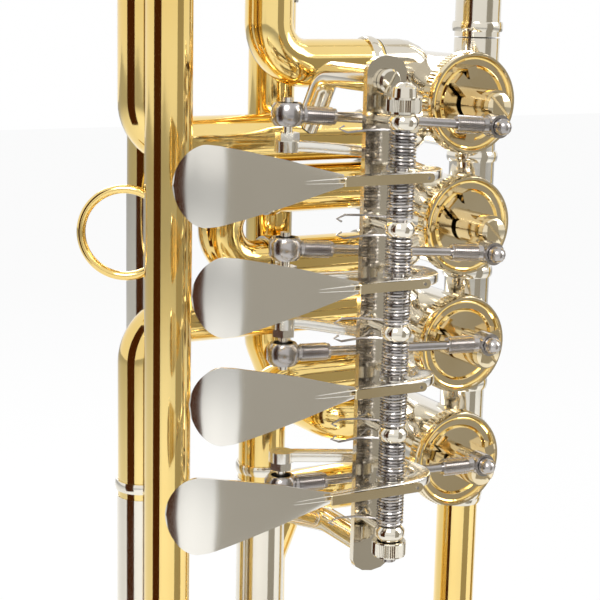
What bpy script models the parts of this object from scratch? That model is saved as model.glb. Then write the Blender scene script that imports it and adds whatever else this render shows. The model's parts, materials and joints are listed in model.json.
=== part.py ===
"""Valve trombone with four rotary valves, built piece by piece in metres.

+Z points to the mouthpiece end, +X from the leadpipe to the bell, and -Y to the player's fingers.
The origin is on the leadpipe's axis, where the left hand holds it.
"""
import math

import bmesh
import bpy
from mathutils import Matrix, Vector

# Main tubing
TUBE_R = 6.7
SLEEVE_R = 7.2
LEG_R = 6.1
WALL = 0.7
SIDES_RES = 3
GAP = 0.3

# Upright lines of tube, as X and Y
VALVE_LINE = (113.0, 16.0)
BELL_SPACING = 113.0
FRONT_LEG_NEAR = 39.0
FRONT_LEG_FAR = -1.0
BACK_PLANE_STEP = 17.0
BACK_LEG_NEAR = 49.0
BACK_LEG_FAR = 9.0

# Heights along the instrument
LEADPIPE_TOP = 250.0
FRONT_BOW_Z = -490.0
BOW_STRAIGHT = 2.0
NECK_TOP = 385.0
BELL_RIM_Z = -325.0
BRACE_HIGH_Z = 205.0
BRACE_LOW_Z = -260.0
BELL_BRACE_LOW_Z = -150.0
BRACE_R = 2.6

# Rotary valves
VALVE_COUNT = 4
VALVE_TOP_Z = 66.0
VALVE_PITCH = 37.3
ROTOR_OFFSET = 16.0
DRUM_R = 14.2
ROTOR_R = 12.0
ROTOR_PLAY = 0.3
DRUM_FRONT = 17.0
DRUM_BACK = 15.0
BACK_WALL = 2.5
PORT_R = 6.0
ELBOW_DROP = 11.0
ELBOW_END = 21.3
ELBOW_BEND = 7.0
CAP_R = 15.2
CAP_THICK = 4.6
CAP_BEAD = 0.9
SPINDLE_R = 3.0
HUB_R = 4.9
HUB_LENGTH = 12.0
LINK_STANDOFF = 6.4
EYE_CLEAR = 0.7
LUG_REST = 135.0
LUG_CLEAR = 28.0
QUARTER = 90.0

# Cranks and links
CRANK_R = 7.0
CRANK_REST = 135.0
CRANK_PIN_R = 1.3
CRANK_PIN_END = 1.6
LINK_EYE_R = 3.4
LINK_EYE_THICK = 5.0
LINK_ROD_R = 1.4
LINK_COLLAR_R = 2.3
LINK_COLLAR_LENGTH = 10.0
SOCKET_R = 4.7
SOCKET_HEIGHT = 6.4
SOCKET_BORE = 2.9
STUD_R = 1.4
STUD_TIP = 4.6
NUT_R = 3.4
NUT_HEIGHT = 2.4

# Levers
HINGE = (50.6, -41.0)
HINGE_ROD_R = 2.0
LEVER_PITCH = 29.0
LEVER_TOP_Z = 50.2
LEVER_THICK = 2.8
LEVER_WIDTH = 5.0
LEVER_HUB_R = 4.4
BALL_POINT = (-21.6, 25.5)
ARM_RISE = (6.0, -2.6, 13.8, 3.5)
SOCKET_SIDE = (1, 1, -1, -1)
SOCKET_STEP = 8.9
PADDLE_LENGTH = 45.5
PADDLE_WIDTH = 21.0
PADDLE_TIP = 3.2
PADDLE_THICK = 1.6
PADDLE_SHIFT = (0.0, 5.5, 5.1, -1.6)
PADDLE_START = -26.9

# Lever springs
SPRING_R = 3.55
SPRING_WIRE_R = 0.31
SPRING_CURLS = 3
CURL_POINTS = 8
SPRING_TAIL = 15.0

# Lever plate and hinge
POST_RING_R = 4.3
POST_RING_HEIGHT = 4.0
POST_STEM_R = 1.5
PLATE_STEP = 9.0
PLATE_THICK = 2.0
PLATE_WIDTH = 12.5
PLATE_TOP_Z = 82.0
PLATE_BOTTOM_Z = -66.0
PLATE_SCREW_Z = 75.0
PLATE_SCREW_R = 3.4
KNURL_R = 4.6
BRACKET_R = 3.8

# Valve slides
SLIDE_1_TOP = 112.0
SLIDE_1_RUN = 26.0
SLIDE_2_END = 38.0
SLIDE_2_RUN = 3.0
SLIDE_3_BOTTOM = -104.0
SLIDE_3_RUN = 60.0
SLIDE_4_TOP = 98.0
SLIDE_4_RUN = 20.0
SLIDE_4_LOW = -193.0
MAIN_RUN = 10.0
LEG_DEPTH = 22.0

# Bell, mouthpiece, ring
BELL_R = 99.3
RIM_WIRE_R = 1.6
BELL_CLEAR = 1.6
RING_R = 12.6
RING_WIRE_R = 1.3
RING_SIDE = 13.1
RING_BACK = 9.0
RING_Z = 29.5
CAMERA_SIDE = 28.8
MOUTHPIECE_LENGTH = 82.0
MOUTHPIECE_R = 13.0
SHANK_R = 5.4
SHANK_DEPTH = 22.0
RECEIVER_R = 7.6
RECEIVER_LENGTH = 32.0

# Water key
KEY_PAD_R = 5.0

MM = 0.001
BRASS = ((0.80, 0.56, 0.16, 1.0), 0.16, 1.0)
NICKEL = ((0.72, 0.69, 0.62, 1.0), 0.14, 1.0)
STEEL = ((0.46, 0.44, 0.43, 1.0), 0.28, 1.0)
SILVER = ((0.86, 0.85, 0.82, 1.0), 0.10, 1.0)

PART = "valve_trombone"


def clear_scene():
    """Remove whatever the scene holds."""
    for obj in list(bpy.data.objects):
        bpy.data.objects.remove(obj, do_unlink=True)


def collection(name):
    group = bpy.data.collections.new(name)
    bpy.context.scene.collection.children.link(group)
    return group


clear_scene()
PARTS = collection(PART)
GUIDES = collection("cutters_and_guides")


def material(name, look):
    colour, roughness, metallic = look
    mat = bpy.data.materials.new(name)
    mat.use_nodes = True
    shader = mat.node_tree.nodes["Principled BSDF"]
    shader.inputs["Base Color"].default_value = colour
    shader.inputs["Roughness"].default_value = roughness
    shader.inputs["Metallic"].default_value = metallic
    return mat


def point(x, y, z):
    """A point given in millimetres."""
    return Vector((x * MM, y * MM, z * MM))


def new_object(name, data, keep=False):
    """Put data in the scene, as a finished part or as a scrap that a Boolean uses up."""
    obj = bpy.data.objects.new(name, data)
    (PARTS if keep else GUIDES).objects.link(obj)
    return obj


def as_mesh(obj):
    """Turn an object into a plain welded mesh object in world space."""
    bpy.context.view_layer.update()
    graph = bpy.context.evaluated_depsgraph_get()
    mesh = bpy.data.meshes.new_from_object(obj.evaluated_get(graph), depsgraph=graph)
    mesh.transform(obj.matrix_world)
    work = bmesh.new()
    work.from_mesh(mesh)
    bmesh.ops.remove_doubles(work, verts=work.verts, dist=0.00001)
    bmesh.ops.recalc_face_normals(work, faces=work.faces)
    work.to_mesh(mesh)
    work.free()
    name = obj.name
    bpy.data.objects.remove(obj, do_unlink=True)
    return new_object(name + "_mesh", mesh)


def is_closed(obj):
    """Whether the object's evaluated mesh has faces and no open edge."""
    bpy.context.view_layer.update()
    graph = bpy.context.evaluated_depsgraph_get()
    work = bmesh.new()
    work.from_object(obj, graph)
    bmesh.ops.remove_doubles(work, verts=work.verts, dist=0.00001)
    closed = len(work.faces) > 0 and all(edge.is_manifold for edge in work.edges)
    work.free()
    return closed


def combine(base, others, operation):
    """Join others to base, or cut them away, and use them up."""
    for other in others:
        modifier = base.modifiers.new("cut", "BOOLEAN")
        modifier.operation = operation
        modifier.object = other
        modifier.solver = "EXACT"
        if not is_closed(base):
            modifier.solver = "MANIFOLD"
        base = as_mesh(base)
        bpy.data.objects.remove(other, do_unlink=True)
    return base


def union(base, *others):
    return combine(base, others, "UNION")


def cut(base, *others):
    return combine(base, others, "DIFFERENCE")


def finish(obj, name, look, pivot=None):
    """Name a finished piece, give it its material, its origin and smooth shading."""
    obj = as_mesh(obj)
    for group in list(obj.users_collection):
        group.objects.unlink(obj)
    PARTS.objects.link(obj)
    obj.name = name
    obj.data.name = name
    if pivot is not None:
        obj.data.transform(Matrix.Translation(-pivot))
        obj.location = pivot
    obj.data.materials.clear()
    obj.data.materials.append(material(name + "_finish", look))
    obj.data.shade_smooth()
    obj.data.set_sharp_from_angle(angle=math.radians(40))
    return obj


def rounded(corners, bend, steps):
    """Corner points in millimetres with each corner replaced by an arc of the given radius."""
    pts = [Vector(corner) for corner in corners]
    route = [pts[0]]
    for before, corner, after in zip(pts, pts[1:], pts[2:]):
        way_in = (corner - before).normalized()
        way_out = (after - corner).normalized()
        turn = way_in.angle(way_out)
        setback = bend * math.tan(turn / 2)
        side = (way_out - way_in * way_in.dot(way_out)).normalized()
        start = corner - way_in * setback
        centre = start + side * bend
        count = max(1, round(steps * turn / (math.pi / 2)))
        for index in range(count + 1):
            angle = turn * index / count
            route.append(centre - side * bend * math.cos(angle) + way_in * bend * math.sin(angle))
    route.append(pts[-1])
    return route


def tube(points, radius, wall=0.0, radii=None, res=SIDES_RES):
    """A tube along points in millimetres: solid, or hollow with the given wall."""
    curve = bpy.data.curves.new("tube", "CURVE")
    curve.dimensions = "3D"
    curve.bevel_depth = radius * MM
    curve.bevel_resolution = res
    curve.use_fill_caps = wall == 0.0
    spline = curve.splines.new("POLY")
    spline.points.add(len(points) - 1)
    for index, place in enumerate(points):
        spline.points[index].co = (*(Vector(place) * MM), 1.0)
        spline.points[index].radius = radii[index] if radii else 1.0
    obj = new_object("tube", curve)
    if wall:
        shell = obj.modifiers.new("wall", "SOLIDIFY")
        shell.thickness = wall * MM
        shell.offset = -1.0
    return as_mesh(obj)


def rod(start, end, radius, sides=16):
    """A plain cylinder between two points in millimetres."""
    start = Vector(start)
    end = Vector(end)
    mesh = bpy.data.meshes.new("rod")
    work = bmesh.new()
    bmesh.ops.create_cone(work, cap_ends=True, segments=sides, radius1=radius * MM,
                          radius2=radius * MM, depth=(end - start).length * MM)
    turn = Vector((0, 0, 1)).rotation_difference(end - start).to_matrix().to_4x4()
    place = Matrix.Translation((start + end) / 2 * MM) @ turn
    bmesh.ops.transform(work, matrix=place, verts=work.verts)
    work.to_mesh(mesh)
    work.free()
    return new_object("rod", mesh)


def box(low, high, turn=None, about=None):
    """A box between two corners in millimetres, turned about a point if asked."""
    low = Vector(low)
    high = Vector(high)
    mesh = bpy.data.meshes.new("box")
    work = bmesh.new()
    bmesh.ops.create_cube(work, size=1.0)
    size = high - low
    scale = Matrix.Diagonal((size.x * MM, size.y * MM, size.z * MM, 1.0))
    place = Matrix.Translation((low + high) / 2 * MM) @ scale
    if turn is not None:
        centre = Vector(about) * MM
        place = Matrix.Translation(centre) @ turn @ Matrix.Translation(-centre) @ place
    bmesh.ops.transform(work, matrix=place, verts=work.verts)
    work.to_mesh(mesh)
    work.free()
    return new_object("box", mesh)


def turned(profile, centre, direction, steps=32, closed=False):
    """A turned solid from radius and height pairs running down its outer side."""
    mesh = bpy.data.meshes.new("turned")
    verts = [(radius * MM, 0.0, height * MM) for radius, height in profile]
    edges = [(index, index + 1) for index in range(len(verts) - 1)]
    if closed:
        edges.append((len(verts) - 1, 0))
    mesh.from_pydata(verts, edges, [])
    obj = new_object("turned", mesh)
    screw = obj.modifiers.new("turn", "SCREW")
    screw.steps = steps
    screw.render_steps = steps
    screw.use_merge_vertices = True
    screw.merge_threshold = 0.00001
    turn = Vector((0, 0, 1)).rotation_difference(Vector(direction)).to_matrix().to_4x4()
    obj.matrix_world = Matrix.Translation(point(*centre)) @ turn
    return as_mesh(obj)


def plate_outline(outline, thickness, place):
    """A flat plate from its outline in millimetres, then moved to its place."""
    curve = bpy.data.curves.new("outline", "CURVE")
    curve.dimensions = "2D"
    curve.fill_mode = "BOTH"
    curve.extrude = thickness * MM / 2
    spline = curve.splines.new("POLY")
    spline.points.add(len(outline) - 1)
    for index, (across, along) in enumerate(outline):
        spline.points[index].co = (across * MM, along * MM, 0.0, 1.0)
    spline.use_cyclic_u = True
    obj = new_object("outline", curve)
    obj.matrix_world = place
    return as_mesh(obj)


def valve_z(index):
    return VALVE_TOP_Z - index * VALVE_PITCH


def lever_z(index):
    return LEVER_TOP_Z - index * LEVER_PITCH


def rotor_axis(index):
    return VALVE_LINE[0] - ROTOR_OFFSET, VALVE_LINE[1], valve_z(index)


CAP_BACK_Y = VALVE_LINE[1] - DRUM_FRONT - GAP
CAP_FRONT_Y = CAP_BACK_Y - CAP_THICK
HUB_BACK_Y = CAP_FRONT_Y - CAP_BEAD - GAP
HUB_FRONT_Y = HUB_BACK_Y - HUB_LENGTH
LINK_Y = HUB_FRONT_Y - LINK_STANDOFF
ELBOW_X = VALVE_LINE[0] - ROTOR_OFFSET - ELBOW_END
PLATE_FRONT_Y = HINGE[1] + PLATE_STEP
PLATE_BACK_Y = PLATE_FRONT_Y + PLATE_THICK
BACK_Y = VALVE_LINE[1] + BACK_PLANE_STEP
BELL_X = VALVE_LINE[0] + BELL_SPACING


def crank_angle(index):
    """The crank points down and left on the upper two valves, up and left on the others."""
    return math.radians(-CRANK_REST if index < 2 else CRANK_REST)


def crank_point(index):
    x, _, z = rotor_axis(index)
    angle = crank_angle(index)
    return Vector((x + CRANK_R * math.cos(angle), LINK_Y, z + CRANK_R * math.sin(angle)))


def socket_point(index):
    """Where the lever's stud stands in the middle of the link's socket."""
    z = lever_z(index) + ARM_RISE[index] + SOCKET_SIDE[index] * SOCKET_STEP
    return Vector((HINGE[0] + BALL_POINT[0], HINGE[1] + BALL_POINT[1], z))


def make_casing(index):
    """A rotor casing with its main line stub and two elbows towards the valve's slide."""
    x, y, z = rotor_axis(index)
    half = VALVE_PITCH / 2 - GAP / 2
    front = y - DRUM_FRONT
    back = y + DRUM_BACK
    body = rod((x, front, z), (x, back, z), DRUM_R, 20)
    line_x = VALVE_LINE[0]
    body = union(body, rod((line_x, y, z - half), (line_x, y, z + half), SLEEVE_R, 14))
    bores = [rod((x, front - 1, z), (x, back - BACK_WALL, z), ROTOR_R + ROTOR_PLAY, 20),
             rod((line_x, y, z - half - 1), (line_x, y, z + half + 1), PORT_R, 12)]
    for side in (1, -1):
        corners = [(x - 3, y, z + side * 3), (x - ELBOW_DROP, y, z + side * ELBOW_DROP),
                   (x - ELBOW_END, y, z + side * ELBOW_DROP)]
        route = rounded(corners, ELBOW_BEND, 2)
        body = union(body, tube(route, SLEEVE_R))
        longer = route[:-1] + [Vector(corners[-1]) - Vector((1, 0, 0))]
        bores.append(tube(longer, PORT_R, res=2))
    return finish(cut(body, *bores), f"valve_casing_{index + 1}", NICKEL)


def make_rotor(index):
    """The turning plug: two passages, and a spindle out through the front cap."""
    x, y, z = rotor_axis(index)
    front = y - DRUM_FRONT + GAP
    back = y + DRUM_BACK - BACK_WALL - GAP
    body = rod((x, front, z), (x, back, z), ROTOR_R, 20)
    body = union(body, rod((x, front + 1, z), (x, HUB_FRONT_Y + 5.0, z), SPINDLE_R, 12))
    for side in (1, -1):
        at = x + side * (ROTOR_R - PORT_R / 2)
        body = cut(body, rod((at, y, z - 14), (at, y, z + 14), PORT_R - 0.5, 12))
    return finish(body, f"rotor_{index + 1}", BRASS, point(x, y, z))


def make_cap(index):
    """The knurled front cap with its raised rim and the two stops."""
    x, _, z = rotor_axis(index)
    hole = SPINDLE_R + GAP
    profile = [(CAP_R - 1.6, CAP_THICK), (CAP_R - 1.0, CAP_THICK + CAP_BEAD),
               (CAP_R - 0.3, CAP_THICK + CAP_BEAD), (CAP_R, CAP_THICK), (CAP_R, 0.4),
               (CAP_R - 0.5, 0.0), (hole, 0.0), (hole, CAP_THICK)]
    body = turned(profile, (x, CAP_BACK_Y, z), (0, -1, 0), 20, closed=True)
    for angle in stop_angles(index):
        turn = Matrix.Rotation(-math.radians(angle), 4, "Y")
        stop = box((x + 8.3, CAP_FRONT_Y - 4.2, z - 1.6), (x + 11.6, CAP_FRONT_Y + 1.0, z + 1.6),
                   turn, (x, 0, z))
        body = union(body, stop)
    return finish(body, f"front_cap_{index + 1}", NICKEL)


def stop_angles(index):
    """Where the two stops stand round the cap, just clear of the lug at each end of its turn."""
    if index < 2:
        return LUG_REST - LUG_CLEAR, LUG_REST + QUARTER + LUG_CLEAR
    return LUG_REST + LUG_CLEAR, LUG_REST - QUARTER - LUG_CLEAR


def make_stop_arm(index):
    """The hub on the spindle: its crank pin, its stop lug and the slotted screw head."""
    x, _, z = rotor_axis(index)
    angle = crank_angle(index)
    pin = crank_point(index)
    body = rod((x, HUB_FRONT_Y, z), (x, HUB_BACK_Y, z), HUB_R, 16)
    turn = Matrix.Rotation(-angle, 4, "Y")
    arm = box((x, HUB_FRONT_Y + 0.2, z - 2.2), (x + CRANK_R, HUB_FRONT_Y + 3.2, z + 2.2),
              turn, (x, 0, z))
    boss_end = LINK_Y + LINK_EYE_THICK / 2 + EYE_CLEAR
    boss = rod((pin.x, boss_end, pin.z), (pin.x, HUB_FRONT_Y + 3.5, pin.z), 2.45, 12)
    stem = rod((pin.x, HUB_FRONT_Y + 1, pin.z),
               (pin.x, LINK_Y - LINK_EYE_THICK / 2 - CRANK_PIN_END, pin.z), CRANK_PIN_R, 8)
    lug_turn = Matrix.Rotation(-math.radians(LUG_REST), 4, "Y")
    lug = box((x + 2, HUB_BACK_Y - 3.0, z - 2.0), (x + 11.0, HUB_BACK_Y - 0.1, z + 2.0),
              lug_turn, (x, 0, z))
    body = union(body, arm, boss, stem, lug)
    bore = rod((x, HUB_FRONT_Y + 4.5, z), (x, HUB_BACK_Y + 1, z), SPINDLE_R + GAP, 12)
    slot = box((x - 3.4, HUB_FRONT_Y - 1, z - 0.45), (x + 3.4, HUB_FRONT_Y + 1.0, z + 0.45),
               Matrix.Rotation(math.radians(45), 4, "Y"), (x, 0, z))
    return finish(cut(body, bore, slot), f"stop_arm_{index + 1}", NICKEL, point(x, VALVE_LINE[1], z))


def make_link(index):
    """The rod between crank and lever: eye, two threaded collars and a ball socket."""
    eye = crank_point(index)
    socket = socket_point(index)
    way = (socket - eye).normalized()
    body = rod(eye + way * 2.4, socket - way * 3.6, LINK_ROD_R, 8)
    near_eye = eye + way * (LINK_EYE_R - 0.6)
    near_socket = socket - way * (SOCKET_R - 0.8)
    ring = rod((eye.x, LINK_Y - LINK_EYE_THICK / 2, eye.z),
               (eye.x, LINK_Y + LINK_EYE_THICK / 2, eye.z), LINK_EYE_R, 12)
    half = SOCKET_HEIGHT / 2
    barrel = [(SOCKET_BORE, half), (SOCKET_R - 1.0, half), (SOCKET_R, half - 1.4),
              (SOCKET_R, 1.4 - half), (SOCKET_R - 1.0, -half), (SOCKET_BORE, -half)]
    cup = turned([(0, half)] + barrel[1:-1] + [(0, -half)], socket, (0, 0, 1), 14)
    body = union(body, rod(near_eye, near_eye + way * LINK_COLLAR_LENGTH, LINK_COLLAR_R, 8),
                 rod(near_socket, near_socket - way * LINK_COLLAR_LENGTH, LINK_COLLAR_R, 8),
                 ring, cup)
    hole = rod((eye.x, LINK_Y - 5, eye.z), (eye.x, LINK_Y + 5, eye.z), CRANK_PIN_R + 2 * GAP, 10)
    bore = rod((socket.x, socket.y, socket.z - 6), (socket.x, socket.y, socket.z + 6),
               SOCKET_BORE, 10)
    return finish(cut(body, hole, bore), f"link_{index + 1}", STEEL, eye * MM)


def lever_route(index):
    """The lever's middle line: from the paddle past the hinge, round the plate to the stud."""
    x, y = HINGE
    z = lever_z(index)
    level = [(PADDLE_START + PADDLE_SHIFT[index], -3.4), (-8, -3.2), (2, -2.6), (9.4, -0.4),
             (12.4, 4.4), (11.8, 10.4)]
    rising = [(7.6, 15.2, 0.45), (0.5, 18.4, 0.75), (-9.0, 21.4, 0.9), (-17.5, 24.2, 1.0),
              (*BALL_POINT, 1.0)]
    route = [(x + dx, y + dy, z) for dx, dy in level]
    rise = ARM_RISE[index]
    route += [(x + dx, y + dy, z + rise * share) for dx, dy, share in rising]
    return route


def ribbon(route, width, thickness):
    """A bar of rectangular section along a route, kept level across its width."""
    section = bpy.data.curves.new("section", "CURVE")
    section.dimensions = "2D"
    spline = section.splines.new("POLY")
    spline.points.add(3)
    corners = ((-1, -1), (1, -1), (1, 1), (-1, 1))
    for index, (across, up) in enumerate(corners):
        spline.points[index].co = (across * width * MM / 2, up * thickness * MM / 2, 0.0, 1.0)
    spline.use_cyclic_u = True
    guide = new_object("section", section)
    curve = bpy.data.curves.new("ribbon", "CURVE")
    curve.dimensions = "3D"
    curve.twist_mode = "Z_UP"
    curve.bevel_mode = "OBJECT"
    curve.bevel_object = guide
    curve.use_fill_caps = True
    path = curve.splines.new("POLY")
    path.points.add(len(route) - 1)
    for index, place in enumerate(route):
        path.points[index].co = (*(Vector(place) * MM), 1.0)
    bar = as_mesh(new_object("ribbon", curve))
    bpy.data.objects.remove(guide, do_unlink=True)
    return bar


def paddle_outline():
    """The finger plate: a round broad end narrowing to its tip."""
    broad = PADDLE_WIDTH / 2
    tip = PADDLE_TIP / 2
    round_end = []
    for step in range(9):
        angle = math.radians(90 + 180 * step / 8)
        round_end.append((broad * 0.62 * math.cos(angle), broad * math.sin(angle)))
    length = PADDLE_LENGTH - broad * 0.62
    lower = [(length * 0.45, -broad * 0.66), (length, -tip)]
    upper = [(length, tip), (length * 0.45, broad * 0.66)]
    return round_end + lower + upper


def make_lever(index):
    """One lever: finger plate, arm, hub on the hinge rod, hook behind the plate, stud."""
    x, y = HINGE
    z = lever_z(index)
    half = LEVER_THICK / 2
    body = ribbon(lever_route(index), LEVER_WIDTH, LEVER_THICK)
    hub = rod((x, y, z - half - 0.15), (x, y, z + half + 0.15), LEVER_HUB_R, 16)
    stud = socket_point(index)
    side = SOCKET_SIDE[index]
    arm_z = z + ARM_RISE[index]
    pad = rod((stud.x, stud.y, arm_z - half - 0.1), (stud.x, stud.y, arm_z + half + 0.1), 3.6, 14)
    nut = rod((stud.x, stud.y, arm_z), (stud.x, stud.y, arm_z + side * (half + NUT_HEIGHT)),
              NUT_R, 6)
    pin = rod((stud.x, stud.y, arm_z), (stud.x, stud.y, stud.z + side * STUD_TIP), STUD_R, 8)
    start = HINGE[0] + PADDLE_START + PADDLE_SHIFT[index]
    place = Matrix.Translation(point(start - PADDLE_LENGTH + PADDLE_WIDTH * 0.31 + 3.5, y - 3.8, z))
    place = place @ Matrix.Rotation(math.radians(90), 4, "X")
    paddle = plate_outline(paddle_outline(), PADDLE_THICK, place)
    body = union(body, hub, pad, nut, pin, paddle)
    body = cut(body, rod((x, y, z - 5), (x, y, z + 5), HINGE_ROD_R + GAP / 2, 16))
    return finish(body, f"lever_{index + 1}", SILVER, point(x, y, z))


def spring_points(index):
    """Tail, upper coil, bail in front of the lever, lower coil and tail, as one wire."""
    x, y = HINGE
    z = lever_z(index)
    near = LEVER_THICK / 2 + SPRING_WIRE_R + GAP + 0.2
    far = LEVER_PITCH / 2 - POST_RING_HEIGHT / 2 - SPRING_WIRE_R - GAP
    tail_y = PLATE_FRONT_Y - SPRING_WIRE_R - GAP
    steps = SPRING_CURLS * CURL_POINTS
    upper = []
    for step in range(steps + 1):
        angle = math.radians(90) + 2 * math.pi * step / CURL_POINTS
        height = far + (near - far) * step / steps
        upper.append((x + SPRING_R * math.cos(angle), y + SPRING_R * math.sin(angle), z + height))
    lower = [(px, py, 2 * z - pz) for px, py, pz in reversed(upper)]
    end = x - SPRING_TAIL
    tail_top = [(end + 1.5, tail_y, z + far + 1.2), (end, tail_y, z + far + 0.4),
                (end + 2.5, tail_y, z + far - 0.6), (x - 6, tail_y, z + far - 0.2),
                (x - 2.2, y + SPRING_R + 2.4, z + far)]
    tail_low = [(px, py, 2 * z - pz) for px, py, pz in reversed(tail_top)]
    bail_y = y + LEVER_HUB_R + SPRING_WIRE_R + GAP
    bail = [(x - 1.5, bail_y, z + near), (x - 1.5, bail_y, z - near)]
    return tail_top + upper + bail + lower + tail_low


def least_gap(points):
    """The least clear distance of a wire to itself, in millimetres, away from its neighbours."""
    best = 1e9
    pts = [Vector(place) for place in points]
    for first, one in enumerate(pts):
        for other in pts[first + CURL_POINTS - 2:]:
            best = min(best, (one - other).length)
    return best - 2 * SPRING_WIRE_R


def make_spring(index):
    points = spring_points(index)
    if index == 0:
        print("least gap of a lever spring to itself, mm:", round(least_gap(points), 3))
    wire = tube(points, SPRING_WIRE_R, res=1)
    return finish(wire, f"lever_spring_{index + 1}", STEEL)


def post_z(index):
    return LEVER_TOP_Z + LEVER_PITCH / 2 - index * LEVER_PITCH


def make_plate():
    """The long plate behind the hinge with the five ring posts that carry the rod."""
    x, y = HINGE
    half = PLATE_WIDTH / 2
    outline = []
    for top, low, z in ((0, 180, PLATE_TOP_Z - 4.0), (180, 360, PLATE_BOTTOM_Z + 4.0)):
        for step in range(7):
            angle = math.radians(top + (low - top) * step / 6)
            outline.append((half * math.cos(angle), z + 4.0 * math.sin(angle)))
    middle = PLATE_FRONT_Y + PLATE_THICK / 2
    place = Matrix.Translation(point(x, middle, 0)) @ Matrix.Rotation(math.radians(90), 4, "X")
    body = plate_outline(outline, PLATE_THICK, place)
    for index in range(VALVE_COUNT + 1):
        z = post_z(index)
        high = POST_RING_HEIGHT / 2
        ring = turned([(0, high), (POST_RING_R - 0.9, high), (POST_RING_R, 0.8),
                       (POST_RING_R, -0.8), (POST_RING_R - 0.9, -high), (0, -high)],
                      (x, y, z), (0, 0, 1), 8)
        stem = rod((x, y + 3, z), (x, middle, z), POST_STEM_R, 8)
        body = union(body, ring, stem)
    low = (x, y, PLATE_BOTTOM_Z - 10)
    high = (x, y, PLATE_TOP_Z + 10)
    body = cut(body, rod(low, high, HINGE_ROD_R + GAP / 2, 16))
    screw_hole = rod((x, y, PLATE_SCREW_Z), (x, PLATE_BACK_Y + 1, PLATE_SCREW_Z), 1.8, 12)
    return finish(cut(body, screw_hole), "lever_plate", NICKEL)


def make_plate_screw():
    """The slotted screw that holds the plate to its upper bracket."""
    x = HINGE[0]
    face = PLATE_FRONT_Y - GAP / 2
    body = turned([(0, 2.2), (PLATE_SCREW_R - 0.6, 2.2), (PLATE_SCREW_R, 1.5),
                   (PLATE_SCREW_R, 0), (0, 0)], (x, face, PLATE_SCREW_Z), (0, -1, 0), 14)
    shank = rod((x, face - 1, PLATE_SCREW_Z), (x, PLATE_BACK_Y + 4.0, PLATE_SCREW_Z), 1.4, 12)
    body = union(body, shank)
    slot = box((x - 4, face - 3, PLATE_SCREW_Z - 0.4), (x + 4, face - 1.3, PLATE_SCREW_Z + 0.4),
               Matrix.Rotation(math.radians(-60), 4, "Y"), (x, 0, PLATE_SCREW_Z))
    return finish(cut(body, slot), "plate_screw", NICKEL)


def make_hinge():
    """The hinge rod and the two knurled nuts at its ends."""
    x, y = HINGE
    reach = 6.5
    top = post_z(0) + POST_RING_HEIGHT / 2
    low = post_z(VALVE_COUNT) - POST_RING_HEIGHT / 2
    finish(rod((x, y, low - reach), (x, y, top + reach), HINGE_ROD_R, 16), "hinge_rod", STEEL)
    bore = HINGE_ROD_R + GAP / 2
    knurl = [(bore, 4.4), (KNURL_R, 4.4), (KNURL_R, 0.0), (bore, 0.0)]
    dome = [(0, 8.4), (2.0, 8.1), (3.4, 6.8), (3.6, 4.4), (KNURL_R, 4.4), (KNURL_R, 0), (0, 0)]
    nut = turned(dome, (x, y, top + GAP), (0, 0, 1), 14)
    nut = cut(nut, rod((x, y, top - 1), (x, y, top + reach + GAP), bore, 16))
    finish(nut, "hinge_nut_top", NICKEL)
    nut = turned(knurl, (x, y, low - GAP), (0, 0, -1), 14, closed=True)
    finish(nut, "hinge_nut_bottom", NICKEL)


def make_brackets():
    """The two curved posts that carry the plate on the tubing."""
    x = HINGE[0]
    back = PLATE_BACK_Y + GAP
    near = VALVE_LINE[1] - SLEEVE_R - GAP
    low_tube = valve_z(0) - ELBOW_DROP
    corners = [(x, back, PLATE_SCREW_Z), (x, near - 7.5, PLATE_SCREW_Z),
               (x, near + 3.2, low_tube + 3.8)]
    upper = tube(rounded(corners, 9.0, 4), BRACKET_R, res=3)
    saddle = rod((x - 14, VALVE_LINE[1], low_tube), (x + 14, VALVE_LINE[1], low_tube),
                 SLEEVE_R + GAP, 24)
    thread = rod((x, PLATE_FRONT_Y, PLATE_SCREW_Z), (x, PLATE_BACK_Y + 5, PLATE_SCREW_Z), 1.7, 12)
    finish(cut(upper, saddle, thread), "plate_bracket_upper", NICKEL)
    z = PLATE_BOTTOM_Z + 7.0
    leg = FRONT_LEG_NEAR
    corners = [(x, back, z), (x, near - 14, z), (leg + 1.5, near + 4, z)]
    lower = tube(rounded(corners, 9.0, 3), BRACKET_R, res=3)
    saddle = rod((leg, VALVE_LINE[1], z - 12), (leg, VALVE_LINE[1], z + 12), SLEEVE_R + GAP, 24)
    finish(cut(lower, saddle), "plate_bracket_lower", NICKEL)


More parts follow.
